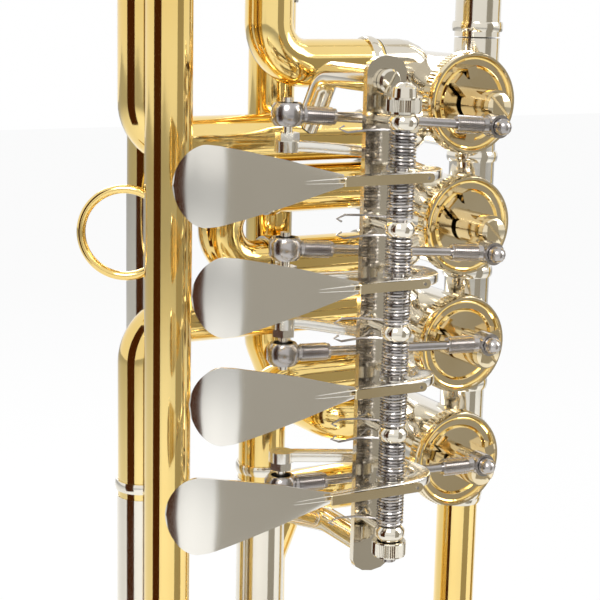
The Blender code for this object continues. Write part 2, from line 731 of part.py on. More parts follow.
def make_valve_tubes():
    """The fixed tubes from the elbows to the slides of the four valves."""
    y = VALVE_LINE[1]
    start = ELBOW_X - GAP
    near, far = FRONT_LEG_NEAR, FRONT_LEG_FAR
    high, low = valve_z(0) + ELBOW_DROP, valve_z(0) - ELBOW_DROP
    bend = 12.0
    tubes = {"valve_1_tube_near": [(start, y, high), (near, y, high), (near, y, SLIDE_1_TOP)],
             "valve_1_tube_far": [(start, y, low), (far, y, low), (far, y, SLIDE_1_TOP)]}
    high, low = valve_z(2) + ELBOW_DROP, valve_z(2) - ELBOW_DROP
    tubes["valve_3_tube_far"] = [(start, y, high), (far, y, high), (far, y, SLIDE_3_BOTTOM)]
    tubes["valve_3_tube_near"] = [(start, y, low), (near, y, low), (near, y, SLIDE_3_BOTTOM)]
    for name, corners in tubes.items():
        finish(tube(rounded(corners, bend, 4), SLEEVE_R, WALL), name, BRASS)
    for side, label in ((1, "upper"), (-1, "lower")):
        z = valve_z(1) + side * ELBOW_DROP
        sleeve = tube([(start, y, z), (SLIDE_2_END, y, z)], SLEEVE_R, WALL)
        finish(sleeve, f"valve_2_tube_{label}", BRASS)
    z = valve_z(3) + ELBOW_DROP
    corners = [(start, y, z), (start - 10, y, z), (start - 18, BACK_Y, z + 4),
               (BACK_LEG_NEAR, BACK_Y, z + 24), (BACK_LEG_NEAR, BACK_Y, SLIDE_4_TOP)]
    finish(tube(rounded(corners, 9.0, 2), SLEEVE_R, WALL), "valve_4_tube_up", BRASS)
    z = valve_z(3) - ELBOW_DROP
    corners = [(start, y, z), (start - 10, y, z), (start - 18, BACK_Y, z - 6),
               (BACK_LEG_NEAR, BACK_Y, z - 26), (BACK_LEG_NEAR, BACK_Y, SLIDE_4_LOW)]
    route = rounded(corners, 9.0, 2)[:-1]
    bow = [(BACK_LEG_NEAR, BACK_Y, SLIDE_4_LOW + 50), (BACK_LEG_NEAR, BACK_Y, SLIDE_4_LOW),
           (BACK_LEG_FAR, BACK_Y, SLIDE_4_LOW), (BACK_LEG_FAR, BACK_Y, SLIDE_4_TOP)]
    route += rounded(bow, (BACK_LEG_NEAR - BACK_LEG_FAR) / 2 - 0.01, 4)
    finish(tube(route, SLEEVE_R, WALL), "valve_4_tube_down", BRASS)


def crook(name, first, second, out, run, pivot):
    """A U-shaped slide: thin legs inside the fixed tubes and a full-width bow."""
    first = Vector(first)
    second = Vector(second)
    out = Vector(out)
    bend = (second - first).length / 2 - 0.01
    bow = rounded([first + out * GAP, first + out * (run + bend), second + out * (run + bend),
                   second + out * GAP], bend, 4)
    route = [first - out * LEG_DEPTH, first + out * (GAP - 0.02)] + bow
    route += [second + out * (GAP - 0.02), second - out * LEG_DEPTH]
    thin = LEG_R / TUBE_R
    radii = [thin, thin] + [1.0] * len(bow) + [thin, thin]
    body = tube(route, TUBE_R, radii=radii)
    return finish(body, name, BRASS, pivot)


def make_slides():
    """The five slides that pull out for tuning."""
    y = VALVE_LINE[1]
    near, far = FRONT_LEG_NEAR, FRONT_LEG_FAR
    crook("tuning_slide_valve_1", (near, y, SLIDE_1_TOP), (far, y, SLIDE_1_TOP), (0, 0, 1),
          SLIDE_1_RUN, point(near, y, SLIDE_1_TOP))
    high = (SLIDE_2_END, y, valve_z(1) + ELBOW_DROP)
    low = (SLIDE_2_END, y, valve_z(1) - ELBOW_DROP)
    crook("tuning_slide_valve_2", high, low, (-1, 0, 0), SLIDE_2_RUN, point(*high))
    crook("tuning_slide_valve_3", (near, y, SLIDE_3_BOTTOM), (far, y, SLIDE_3_BOTTOM), (0, 0, -1),
          SLIDE_3_RUN, point(near, y, SLIDE_3_BOTTOM))
    crook("tuning_slide_valve_4", (BACK_LEG_NEAR, BACK_Y, SLIDE_4_TOP),
          (BACK_LEG_FAR, BACK_Y, SLIDE_4_TOP), (0, 0, 1), SLIDE_4_RUN,
          point(BACK_LEG_NEAR, BACK_Y, SLIDE_4_TOP))
    crook("main_tuning_slide", (VALVE_LINE[0], y, NECK_TOP), (BELL_X, y, NECK_TOP), (0, 0, 1),
          MAIN_RUN, point(VALVE_LINE[0], y, NECK_TOP))


def make_main_line():
    """Leadpipe, front bow and the two tubes above and below the valves."""
    x, y = VALVE_LINE
    shell = tube([(0, 0, FRONT_BOW_Z + GAP), (0, 0, LEADPIPE_TOP)], TUBE_R, WALL)
    receiver = tube([(0, 0, LEADPIPE_TOP - RECEIVER_LENGTH), (0, 0, LEADPIPE_TOP)], RECEIVER_R,
                    RECEIVER_R - TUBE_R + 0.3)
    finish(union(shell, receiver), "leadpipe", BRASS)
    first = Vector((0, 0, FRONT_BOW_Z))
    second = Vector((x, y, FRONT_BOW_Z))
    bend = (second - first).length / 2 - 0.01
    drop = Vector((0, 0, -bend - BOW_STRAIGHT))
    bow = rounded([first, first + drop, second + drop, second], bend, 6)
    nipple_at = water_point()
    body = tube(bow, TUBE_R)
    nipple = rod(nipple_at + Vector((0, 0, 4)), nipple_at, 2.6, 12)
    saddle = key_axis()
    post = [box((saddle.x - 3.2, saddle.y + s * 5.2 - 0.8, saddle.z - 2),
                (saddle.x + 3.2, saddle.y + s * 5.2 + 0.8, saddle.z + 13)) for s in (-1, 1)]
    finish(union(body, nipple, *post), "front_bow", BRASS)
    low = valve_z(VALVE_COUNT - 1) - VALVE_PITCH / 2
    finish(tube([(x, y, FRONT_BOW_Z + GAP), (x, y, low - GAP)], TUBE_R, WALL),
           "lower_main_tube", BRASS)
    high = valve_z(0) + VALVE_PITCH / 2
    finish(tube([(x, y, high + GAP), (x, y, NECK_TOP)], SLEEVE_R, WALL), "upper_main_tube", NICKEL)


def water_point():
    """The nipple's mouth under the lowest point of the front bow."""
    half = Vector((VALVE_LINE[0], VALVE_LINE[1], 0)).length / 2
    return Vector((VALVE_LINE[0] / 2, VALVE_LINE[1] / 2, FRONT_BOW_Z - BOW_STRAIGHT - half - TUBE_R - 2.5))


def key_axis():
    """The middle of the water key's pivot, up the bow from the nipple."""
    mouth = water_point()
    return mouth + Vector((20.0, 2.9, 0.0))


def make_water_key():
    """The sprung key that closes the drain hole of the front bow."""
    mouth = water_point()
    pivot = key_axis()
    pad = rod(mouth - Vector((0, 0, GAP)), mouth - Vector((0, 0, 3.0)), KEY_PAD_R, 16)
    bar = box((mouth.x, mouth.y - 0.9, mouth.z - 4.6), (pivot.x + 20, mouth.y + 4.6, mouth.z - 2.4))
    eye = rod(pivot - Vector((0, 4.0, 0)), pivot + Vector((0, 4.0, 0)), 2.0, 12)
    web = box((pivot.x - 2.4, pivot.y - 1.6, mouth.z - 4.4), (pivot.x + 2.4, pivot.y + 1.6, pivot.z))
    finish(union(bar, pad, eye, web), "water_key", NICKEL, pivot * MM)


def make_thumb_ring():
    """The left thumb's ring behind the leadpipe, facing the camera side, on a short foot."""
    turn = math.radians(CAMERA_SIDE)
    left = Vector((-math.cos(turn), math.sin(turn), 0))
    back = Vector((math.sin(turn), math.cos(turn), 0))
    centre = left * RING_SIDE + back * RING_BACK + Vector((0, 0, RING_Z))
    points = []
    for step in range(18):
        angle = 2 * math.pi * step / 18
        points.append(centre + (left * math.cos(angle) + Vector((0, 0, 1)) * math.sin(angle)) * RING_R)
    curve = bpy.data.curves.new("ring", "CURVE")
    curve.dimensions = "3D"
    curve.bevel_depth = RING_WIRE_R * MM
    curve.bevel_resolution = 1
    spline = curve.splines.new("POLY")
    spline.points.add(len(points) - 1)
    for index, place in enumerate(points):
        spline.points[index].co = (*(place * MM), 1.0)
    spline.use_cyclic_u = True
    ring = as_mesh(new_object("ring", curve))
    foot_at = centre - left * RING_R
    foot = rod(foot_at, Vector((0, 0, RING_Z)) + (foot_at - Vector((0, 0, RING_Z))) * 0.3, 2.2, 12)
    pipe = rod((0, 0, RING_Z - 9), (0, 0, RING_Z + 9), TUBE_R + GAP, 24)
    finish(cut(union(ring, foot), pipe), "thumb_ring", BRASS)


def bell_radius(share):
    """Outer radius of the bell at a share of its length from the neck to the rim."""
    neck = SLEEVE_R
    cone = neck + 11.0 * share
    return cone + (BELL_R - neck - 11.0) * max(0.0, (share - 0.30) / 0.70) ** 4.6


def make_bell():
    """The bell: a thin flared shell with a wired rim."""
    length = NECK_TOP - BELL_RIM_Z
    shares = [0.0, 0.3, 0.5, 0.66, 0.77, 0.85, 0.91, 0.955, 0.985, 1.0]
    outer = [(bell_radius(share), NECK_TOP - length * share) for share in shares]
    inner = [(radius - WALL * 1.4, z) for radius, z in reversed(outer[:-1])]
    rim = [(BELL_R + RIM_WIRE_R * 0.4, BELL_RIM_Z - 0.9), (BELL_R + RIM_WIRE_R * 0.4, BELL_RIM_Z - 2.6),
           (BELL_R - 0.4, BELL_RIM_Z - 3.0), (BELL_R - 2.6, BELL_RIM_Z - 3.0),
           (BELL_R - 2.6, BELL_RIM_Z + 0.2)]
    x = BELL_X
    body = turned(outer + rim + inner, (x, VALVE_LINE[1], 0), (0, 0, 1), 24, closed=True)
    finish(body, "bell", BRASS)


def make_mouthpiece():
    """The mouthpiece: rim, cup, throat and tapered shank in the leadpipe's receiver."""
    top = MOUTHPIECE_LENGTH
    foot = LEADPIPE_TOP - SHANK_DEPTH
    outer = [(11.0, top), (MOUTHPIECE_R - 0.6, top - 0.4), (MOUTHPIECE_R, top - 3.0),
             (11.2, top - 8.0), (9.6, top - 18.0), (6.0, top - 30.0), (4.9, top - 36.0),
             (SHANK_R + 0.5, SHANK_DEPTH + 3.0), (SHANK_R, SHANK_DEPTH), (SHANK_R - 0.4, 0.0)]
    inner = [(3.6, 0.0), (2.9, top - 38.0), (3.0, top - 30.0), (7.6, top - 18.0), (9.6, top - 6.0),
             (10.0, top - 2.0)]
    body = turned(outer + inner, (0, 0, foot), (0, 0, 1), 18, closed=True)
    finish(body, "mouthpiece", SILVER, point(0, 0, foot))


def brace(name, start, end, start_r, end_r):
    """A stay between two upright tubes with a small flange at each end."""
    start = Vector(start)
    end = Vector(end)
    way = (end - start).normalized()
    first = start + way * (start_r - 3.0)
    last = end - way * (end_r - 3.0)
    body = rod(first, last, BRACE_R, 12)
    body = union(body, rod(first, first + way * 5.0, BRACE_R + 2.2, 12),
                 rod(last, last - way * 5.0, BRACE_R + 2.2, 12))
    up = Vector((0, 0, 12))
    body = cut(body, rod(start - up, start + up, start_r + GAP, 16),
               rod(end - up, end + up, end_r + GAP, 16))
    finish(body, name, NICKEL)


def make_braces():
    x, y = VALVE_LINE
    brace("brace_upper", (0, 0, BRACE_HIGH_Z), (x, y, BRACE_HIGH_Z), TUBE_R, SLEEVE_R)
    brace("brace_lower", (0, 0, BRACE_LOW_Z), (x, y, BRACE_LOW_Z), TUBE_R, TUBE_R)
    length = NECK_TOP - BELL_RIM_Z
    for name, z, tube_r in (("bell_brace_upper", BRACE_HIGH_Z, SLEEVE_R),
                            ("bell_brace_lower", BELL_BRACE_LOW_Z, TUBE_R)):
        radius = bell_radius((NECK_TOP - z + BRACE_R + 2.2) / length)
        brace(name, (x, y, z), (BELL_X, y, z), tube_r, radius + BELL_CLEAR)


def build():
    for index in range(VALVE_COUNT):
        make_casing(index)
        make_rotor(index)
        make_cap(index)
        make_stop_arm(index)
        make_link(index)
        make_lever(index)
        make_spring(index)
    make_plate()
    make_plate_screw()
    make_hinge()
    make_brackets()
    make_valve_tubes()
    make_slides()
    make_main_line()
    make_water_key()
    make_thumb_ring()
    make_bell()
    make_mouthpiece()
    make_braces()


build()
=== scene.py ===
"""The looks of the valve trombone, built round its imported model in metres.

Every piece stands for a CAD node in a finer form, or adds small trim to one.
"""
import json
import math

import bmesh
import bpy
from mathutils import Matrix, Vector


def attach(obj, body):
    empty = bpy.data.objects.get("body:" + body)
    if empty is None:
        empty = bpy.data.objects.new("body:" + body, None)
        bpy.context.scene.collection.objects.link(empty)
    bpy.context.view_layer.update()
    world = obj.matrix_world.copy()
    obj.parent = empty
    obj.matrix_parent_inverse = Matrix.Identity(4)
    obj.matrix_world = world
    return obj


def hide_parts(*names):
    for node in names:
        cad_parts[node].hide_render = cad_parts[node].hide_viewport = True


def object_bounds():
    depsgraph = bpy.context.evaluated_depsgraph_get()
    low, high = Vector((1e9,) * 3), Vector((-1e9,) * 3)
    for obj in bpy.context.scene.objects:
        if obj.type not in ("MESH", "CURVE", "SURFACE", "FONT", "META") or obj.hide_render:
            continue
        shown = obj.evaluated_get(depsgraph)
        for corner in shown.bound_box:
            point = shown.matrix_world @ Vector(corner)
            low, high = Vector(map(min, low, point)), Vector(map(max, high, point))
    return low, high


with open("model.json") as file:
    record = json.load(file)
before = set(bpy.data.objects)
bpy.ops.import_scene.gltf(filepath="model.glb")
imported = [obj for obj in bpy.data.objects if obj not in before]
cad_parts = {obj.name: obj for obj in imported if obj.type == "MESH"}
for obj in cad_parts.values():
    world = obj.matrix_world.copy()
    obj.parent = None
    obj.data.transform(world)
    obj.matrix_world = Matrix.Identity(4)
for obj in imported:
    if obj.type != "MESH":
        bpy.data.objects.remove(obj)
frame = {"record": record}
CAD_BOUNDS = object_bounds()

# Main tubing
TUBE_R = 6.7
SLEEVE_R = 7.2
LEG_R = 6.1
WALL = 0.7
SIDES_RES = 11
GAP = 0.3

# Upright lines of tube, as X and Y
VALVE_LINE = (113.0, 16.0)
BELL_SPACING = 113.0
FRONT_LEG_NEAR = 39.0
FRONT_LEG_FAR = -1.0
BACK_PLANE_STEP = 17.0
BACK_LEG_NEAR = 49.0
BACK_LEG_FAR = 9.0

# Heights along the instrument
LEADPIPE_TOP = 250.0
FRONT_BOW_Z = -490.0
BOW_STRAIGHT = 2.0
BOW_SLACK = 0.01
WIDE_BEND = 12.0
SOFT_BEND = 9.0
NECK_TOP = 385.0
BELL_RIM_Z = -325.0
BRACE_HIGH_Z = 205.0
BRACE_LOW_Z = -260.0
BELL_BRACE_LOW_Z = -150.0
BRACE_R = 2.6
FLANGE_RISE = 2.2
FLANGE_LENGTH = 5.0
FLANGE_INSET = 3.0

# Rotary valves
VALVE_COUNT = 4
VALVE_TOP_Z = 66.0
VALVE_PITCH = 37.3
ROTOR_OFFSET = 16.0
DRUM_R = 14.2
ROTOR_R = 12.0
ROTOR_PLAY = 0.3
DRUM_FRONT = 17.0
DRUM_BACK = 15.0
BACK_WALL = 2.5
PORT_R = 6.0
ELBOW_DROP = 11.0
ELBOW_END = 21.3
ELBOW_BEND = 7.0
CAP_R = 15.2
CAP_THICK = 4.6
CAP_BEAD = 0.9
SPINDLE_R = 3.0
HUB_R = 4.9
HUB_LENGTH = 12.0
LINK_STANDOFF = 6.4
EYE_CLEAR = 0.7
LUG_REST = 135.0
LUG_START = 2.0
LUG_END = 11.0
LUG_THICK = 3.0
LUG_HALF = 2.0
LUG_CLEAR = 28.0
STOP_NEAR = 8.3
STOP_FAR = 11.6
STOP_HEIGHT = 4.2
STOP_HALF = 1.6
QUARTER = 90.0

# Cranks and links
CRANK_R = 7.0
BOSS_R = 2.45
ARM_HALF = 2.2
CRANK_REST = 135.0
CRANK_PIN_R = 1.3
CRANK_PIN_END = 1.6
LINK_EYE_R = 3.4
LINK_EYE_THICK = 5.0
LINK_ROD_R = 1.4
LINK_COLLAR_R = 2.3
LINK_COLLAR_LENGTH = 10.0
SOCKET_R = 4.7
SOCKET_HEIGHT = 6.4
SOCKET_BORE = 2.9
STUD_R = 1.4
STUD_TIP = 4.6
NUT_R = 3.4
NUT_HEIGHT = 2.4

# Levers
HINGE = (50.6, -41.0)
HINGE_ROD_R = 2.0
HINGE_REACH = 6.5
LEVER_PITCH = 29.0
LEVER_TOP_Z = 50.2
LEVER_THICK = 2.8
LEVER_WIDTH = 5.0
LEVER_HUB_R = 4.4
PAD_R = 3.6
BALL_POINT = (-21.6, 25.5)
ARM_RISE = (6.0, -2.6, 13.8, 3.5)
SOCKET_SIDE = (1, 1, -1, -1)
SOCKET_STEP = 8.9
PADDLE_LENGTH = 45.5
PADDLE_WIDTH = 21.0
PADDLE_SHIFT = (0.0, 5.5, 5.1, -1.6)
PADDLE_START = -26.9
PADDLE_OVERLAP = 6.3
PADDLE_STEP = 3.8
PADDLE_SHEET = 1.2
PADDLE_CROWN = 0.25
PADDLE_END = 6.5
PADDLE_PROFILE = ((0.0, 1.0), (0.08, 0.97), (0.3, 0.80), (0.6, 0.54), (0.85, 0.28), (1.0, 0.14))
ROLL_START = 9.0
ROLL_DEPTH = 6.2
ROLL_POWER = 3.2
TAPER_LENGTH = 9.0
TAPER_POINTS = 7
TAPER_SHARE = 0.26
WIDE_ROUND = 0.22
THIN_ROUND = 0.4
LEVER_ROUTE = ((-8, -3.2), (2, -2.6), (9.4, -0.4), (12.4, 4.4), (11.8, 10.4))
ARM_ROUTE = ((7.6, 15.2, 0.45), (0.5, 18.4, 0.75), (-9.0, 21.4, 0.9), (-17.5, 24.2, 1.0))

# Lever springs
SPRING_R = 3.55
SPRING_WIRE_R = 0.33
SPRING_CURLS = 11
CURL_POINTS = 14
SPRING_TAIL = 15.0

# Lever plate and hinge
POST_RING_R = 4.3
POST_RING_HEIGHT = 4.0
POST_STEM_R = 1.5
PLATE_STEP = 9.0
PLATE_THICK = 2.0
PLATE_WIDTH = 12.5
PLATE_ROUND = 4.0
PLATE_TOP_Z = 82.0
PLATE_BOTTOM_Z = -66.0
PLATE_SCREW_Z = 75.0
PLATE_SCREW_R = 3.4
KNURL_R = 4.6
KNURL_HEIGHT = 4.4
BRACKET_R = 3.8

# Valve slides
SLIDE_1_TOP = 112.0
SLIDE_1_RUN = 26.0
SLIDE_2_END = 38.0
SLIDE_2_RUN = 3.0
SLIDE_3_BOTTOM = -104.0
SLIDE_3_RUN = 60.0
SLIDE_4_TOP = 98.0
SLIDE_4_RUN = 20.0
SLIDE_4_LOW = -193.0
MAIN_RUN = 10.0
LEG_DEPTH = 22.0

# Bell, mouthpiece, ring
BELL_R = 99.3
BELL_CONE = 11.0
FLARE_START = 0.30
FLARE_POWER = 4.6
RIM_WIRE_R = 1.6
BELL_CLEAR = 1.6
RING_R = 12.6
RING_WIRE_R = 1.3
RING_SIDE = 13.1
RING_BACK = 9.0
RING_Z = 29.5
CAMERA_SIDE = 28.8
MOUTHPIECE_LENGTH = 82.0
MOUTHPIECE_R = 13.0
SHANK_R = 5.4
SHANK_DEPTH = 22.0
RECEIVER_R = 7.6
RECEIVER_LENGTH = 32.0

# Water key
KEY_PAD_R = 5.0
KEY_REACH = (20.0, 2.9, 0.0)
NIPPLE_RISE = 2.5
NIPPLE_R = 2.6

# Trim that only scene.py has
BAR_OVERLAP = 5.6
BAR_STEP = 6.2
BAR_THICK = 0.8
BAR_HALF = 1.3
BAR_REACH = 5.0
RIVET_R = 0.45
SLOT_HALF = 0.45
SLOT_ANGLE = -45.0
THREADS = 14
THREAD_RISE = 0.30
COVER_3_TOP = -50.0
COVER_4_LOW = -8.0

# Floor and lights, in metres. A card's row: name, azimuth, elevation, distance,
# width, height, colour, strength. A lamp's row: name, place, power, size.
WHITE = (1.0, 1.0, 1.0, 1.0)
FLOOR_HALF = 6.0
FLOOR_DROP = 0.004
FLOOR_WHITE = 0.93
LIGHT_AIM = (0.05, 0.0, 0.0)
CARDS = (("card_left", -80, 4, 0.9, 0.60, 1.6, (0.16, 0.05, 0.015, 1.0), 0.4),
         ("card_below", 8, -58, 0.9, 0.9, 0.42, (0.55, 0.36, 0.10, 1.0), 0.55),
         ("card_right", 30, -10, 0.9, 0.55, 1.3, (0.62, 0.58, 0.50, 1.0), 0.62),
         ("card_far_right", 95, 5, 1.0, 0.25, 1.6, (0.10, 0.05, 0.02, 1.0), 0.4))
LAMPS = (("key", (-1.2, -1.6, 1.6), 42.0, 0.9),
         ("fill", (1.8, -1.2, 0.9), 22.0, 1.2),
         ("rim", (0.4, 1.8, 1.2), 26.0, 1.0))

# Camera: azimuth, elevation and roll in degrees, field of view, place
CAMERA_ANGLES = (-28.75, 11.61, 1.25)
CAMERA_FIELD = 21.24
CAMERA_PLACE = (-180.3, -406.3, 103.8)

MM = 0.001
WELD = 0.00001
UP = (0, 0, 1)
DOWN = (0, 0, -1)
OUT = (0, -1, 0)
ACROSS = (1, 0, 0)

PART = "valve_trombone"


def collection(name):
    """A new collection in the scene."""
    group = bpy.data.collections.new(name)
    bpy.context.scene.collection.children.link(group)
    return group


PARTS = collection(PART)
GUIDES = collection("cutters_and_guides")


def node(tree, kind, **values):
    """A shader node with the given socket values."""
    made = tree.nodes.new(kind)
    for name, value in values.items():
        made.inputs[name.replace("_", " ")].default_value = value
    return made


def wire(tree, start, socket, end, name):
    """Join one node's output to another's input."""
    tree.links.new(start.outputs[socket], end.inputs[name])


def material(name):
    """A new material that is made of nodes."""
    mat = bpy.data.materials.new(name)
    mat.use_nodes = True
    return mat


def noise(tree, scale, detail):
    """Noise in the object's own space."""
    made = node(tree, "ShaderNodeTexNoise", Scale=scale, Detail=detail)
    wire(tree, tree.nodes.new("ShaderNodeTexCoord"), "Object", made, "Vector")
    return made


def metal(name, colours, roughness, bump, coat, scale):
    """Worn metal: a slow colour drift, fine polishing lines and uneven gloss."""
    mat = material(name)
    tree = mat.node_tree
    shader = tree.nodes["Principled BSDF"]
    shader.inputs["Metallic"].default_value = 1.0
    shader.inputs["Coat Weight"].default_value = coat
    shader.inputs["Coat Roughness"].default_value = 0.04
    drift = noise(tree, scale, 3.0)
    ramp = tree.nodes.new("ShaderNodeValToRGB")
    for stop, place, colour in zip(ramp.color_ramp.elements, (0.35, 0.68), colours):
        stop.position = place
        stop.color = colour
    wire(tree, drift, "Fac", ramp, "Fac")
    wire(tree, ramp, "Color", shader, "Base Color")
    smear = noise(tree, scale * 6, 4.0)
    gloss = tree.nodes.new("ShaderNodeMapRange")
    gloss.inputs["To Min"].default_value = roughness[0]
    gloss.inputs["To Max"].default_value = roughness[1]
    wire(tree, smear, "Fac", gloss, "Value")
    wire(tree, gloss, "Result", shader, "Roughness")
    lines = noise(tree, scale * 30, 2.0)
    relief = node(tree, "ShaderNodeBump", Strength=bump, Distance=0.0002)
    wire(tree, lines, "Fac", relief, "Height")
    wire(tree, relief, "Normal", shader, "Normal")
    return mat


# A metal's row: darker and lighter colour, range of roughness, relief, coat, scale
METALS = {
    "gold_lacquer_brass": (((0.83, 0.59, 0.19, 1), (0.93, 0.71, 0.28, 1)),
                           (0.05, 0.12), 0.02, 0.5, 14.0),
    "nickel_silver": (((0.70, 0.65, 0.55, 1), (0.82, 0.77, 0.67, 1)), (0.07, 0.16), 0.03, 0.0, 18.0),
    "dark_steel": (((0.34, 0.32, 0.31, 1), (0.52, 0.49, 0.47, 1)), (0.16, 0.32), 0.08, 0.0, 30.0),
    "bright_nickel": (((0.78, 0.75, 0.68, 1), (0.86, 0.83, 0.76, 1)), (0.03, 0.08), 0.01, 0.0, 10.0),
    "warm_nickel": (((0.74, 0.61, 0.38, 1), (0.86, 0.76, 0.55, 1)), (0.06, 0.14), 0.03, 0.2, 22.0),
    "satin_nickel": (((0.76, 0.73, 0.66, 1), (0.84, 0.81, 0.75, 1)), (0.16, 0.21), 0.01, 0.0, 8.0)}
LOOKS = {name: metal(name, *values) for name, values in METALS.items()}
WARM_NODES = ("front_cap", "stop_arm", "cap_knurl", "axle_head", "finger_bar")
SATIN_NODES = ("lever_1", "lever_2", "lever_3", "lever_4")
BODY_OF = {}
for body_name, members in frame["record"]["behaviour"]["bodies"].items():
    for member in members:
        BODY_OF[member] = body_name
SLOT_OF = {entry["node"]: entry["material_slot"] for entry in frame["record"]["subparts"]}


def point(x, y, z):
    """A point given in millimetres."""
    return Vector((x * MM, y * MM, z * MM))


def new_object(name, data):
    """Put data in the scene as a scrap that a Boolean or dress uses up."""
    obj = bpy.data.objects.new(name, data)
    GUIDES.objects.link(obj)
    return obj


def facing(direction):
    """The turn that points a piece built along Z the given way."""
    return Vector(UP).rotation_difference(Vector(direction)).to_matrix().to_4x4()


def solid(name, work, place):
    """The bmesh as an object at its place."""
    mesh = bpy.data.meshes.new(name)
    bmesh.ops.transform(work, matrix=place, verts=work.verts)
    work.to_mesh(mesh)
    work.free()
    return new_object(name, mesh)


def poly_curve(name, points, cyclic=False):
    """A curve straight from point to point, given in millimetres."""
    curve = bpy.data.curves.new(name, "CURVE")
    curve.dimensions = "3D"
    spline = curve.splines.new("POLY")
    spline.points.add(len(points) - 1)
    for index, place in enumerate(points):
        spline.points[index].co = (*(Vector(place) * MM), 1.0)
    spline.use_cyclic_u = cyclic
    return curve


def flat_curve(name, outline):
    """A closed flat outline in millimetres."""
    curve = bpy.data.curves.new(name, "CURVE")
    curve.dimensions = "2D"
    spline = curve.splines.new("POLY")
    spline.points.add(len(outline) - 1)
    for index, (across, along) in enumerate(outline):
        spline.points[index].co = (across * MM, along * MM, 0.0, 1.0)
    spline.use_cyclic_u = True
    return curve


def fresh_graph():
    """The scene's dependency graph, brought up to date."""
    bpy.context.view_layer.update()
    return bpy.context.evaluated_depsgraph_get()


def as_mesh(obj):
    """Turn an object into a plain welded mesh object in world space."""
    graph = fresh_graph()
    mesh = bpy.data.meshes.new_from_object(obj.evaluated_get(graph), depsgraph=graph)
    mesh.transform(obj.matrix_world)
    work = bmesh.new()
    work.from_mesh(mesh)
    bmesh.ops.remove_doubles(work, verts=work.verts, dist=WELD)
    bmesh.ops.recalc_face_normals(work, faces=work.faces)
    work.to_mesh(mesh)
    work.free()
    name = obj.name
    bpy.data.objects.remove(obj, do_unlink=True)
    return new_object(name + "_mesh", mesh)


def is_closed(obj):
    """Whether the object's evaluated mesh has faces and no open edge."""
    work = bmesh.new()
    work.from_object(obj, fresh_graph())
    bmesh.ops.remove_doubles(work, verts=work.verts, dist=WELD)
    closed = len(work.faces) > 0 and all(edge.is_manifold for edge in work.edges)
    work.free()
    return closed


def combine(base, others, operation):
    """Join others to base, or cut them away, and use them up."""
    for other in others:
        modifier = base.modifiers.new("cut", "BOOLEAN")
        modifier.operation = operation
        modifier.object = other
        modifier.solver = "EXACT"
        if not is_closed(base):
            modifier.solver = "MANIFOLD"
        base = as_mesh(base)
        bpy.data.objects.remove(other, do_unlink=True)
    return base


def union(base, *others):
    """The pieces joined as one."""
    return combine(base, others, "UNION")


def cut(base, *others):
    """The first piece with the others cut away."""
    return combine(base, others, "DIFFERENCE")


def dress(obj, name, slot, body):
    """Name a piece, give it its metal and let it ride on its body."""
    obj = as_mesh(obj)
    for group in list(obj.users_collection):
        group.objects.unlink(obj)
    PARTS.objects.link(obj)
    obj.name = name
    obj.data.name = name
    obj.data.materials.clear()
    look = slot
    if name.startswith(WARM_NODES):
        look = "warm_nickel"
    elif name.startswith(SATIN_NODES):
        look = "satin_nickel"
    obj.data.materials.append(LOOKS[look])
    obj.data.shade_smooth()
    obj.data.set_sharp_from_angle(angle=math.radians(38))
    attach(obj, body)
    return obj


def finish(obj, name):
    """Dress a piece that stands for the CAD node of that name."""
    piece = dress(obj, name + "_look", SLOT_OF[name], BODY_OF[name])
    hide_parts(name)


def rounded(corners, bend, steps):
    """Corner points in millimetres with each corner replaced by an arc of the given radius."""
    pts = [Vector(corner) for corner in corners]
    route = [pts[0]]
    for before, corner, after in zip(pts, pts[1:], pts[2:]):
        way_in = (corner - before).normalized()
        way_out = (after - corner).normalized()
        turn = way_in.angle(way_out)
        setback = bend * math.tan(turn / 2)
        side = (way_out - way_in * way_in.dot(way_out)).normalized()
        start = corner - way_in * setback
        centre = start + side * bend
        count = max(2, round(3 * steps * turn / (math.pi / 2)))
        for index in range(count + 1):
            angle = turn * index / count
            route.append(centre - side * bend * math.cos(angle) + way_in * bend * math.sin(angle))
    route.append(pts[-1])
    return route


def thicken(obj, thickness, offset):
    """Give a surface its thickness: offset -1 grows it inwards, 0 to both sides."""
    shell = obj.modifiers.new("wall", "SOLIDIFY")
    shell.thickness = thickness * MM
    shell.offset = offset


def tube(points, radius, wall=0.0, radii=None, res=SIDES_RES):
    """A tube along points in millimetres: solid, or hollow with the given wall."""
    curve = poly_curve("tube", points)
    curve.bevel_depth = radius * MM
    curve.bevel_resolution = res
    curve.use_fill_caps = wall == 0.0
    for index, share in enumerate(radii or ()):
        curve.splines[0].points[index].radius = share
    obj = new_object("tube", curve)
    if wall:
        thicken(obj, wall, -1.0)
    return as_mesh(obj)


def rod(start, end, radius, sides=16, finer=2):
    """A plain cylinder between two points in millimetres."""
    start = Vector(start)
    end = Vector(end)
    work = bmesh.new()
    bmesh.ops.create_cone(work, cap_ends=True, segments=sides * finer, radius1=radius * MM,
                          radius2=radius * MM, depth=(end - start).length * MM)
    return solid("rod", work, Matrix.Translation((start + end) / 2 * MM) @ facing(end - start))


def upright(x, y, low, high, *shape):
    """A cylinder along Z."""
    return rod((x, y, low), (x, y, high), *shape)


def axle(x, z, front, back, *shape):
    """A cylinder along Y."""
    return rod((x, front, z), (x, back, z), *shape)


def box(low, high, turn=None, about=None):
    """A box between two corners in millimetres, turned about a point if asked."""
    low = Vector(low)
    high = Vector(high)
    work = bmesh.new()
    bmesh.ops.create_cube(work, size=1.0)
    size = high - low
    scale = Matrix.Diagonal((size.x * MM, size.y * MM, size.z * MM, 1.0))
    place = Matrix.Translation((low + high) / 2 * MM) @ scale
    if turn is not None:
        centre = Vector(about) * MM
        place = Matrix.Translation(centre) @ turn @ Matrix.Translation(-centre) @ place
    return solid("box", work, place)


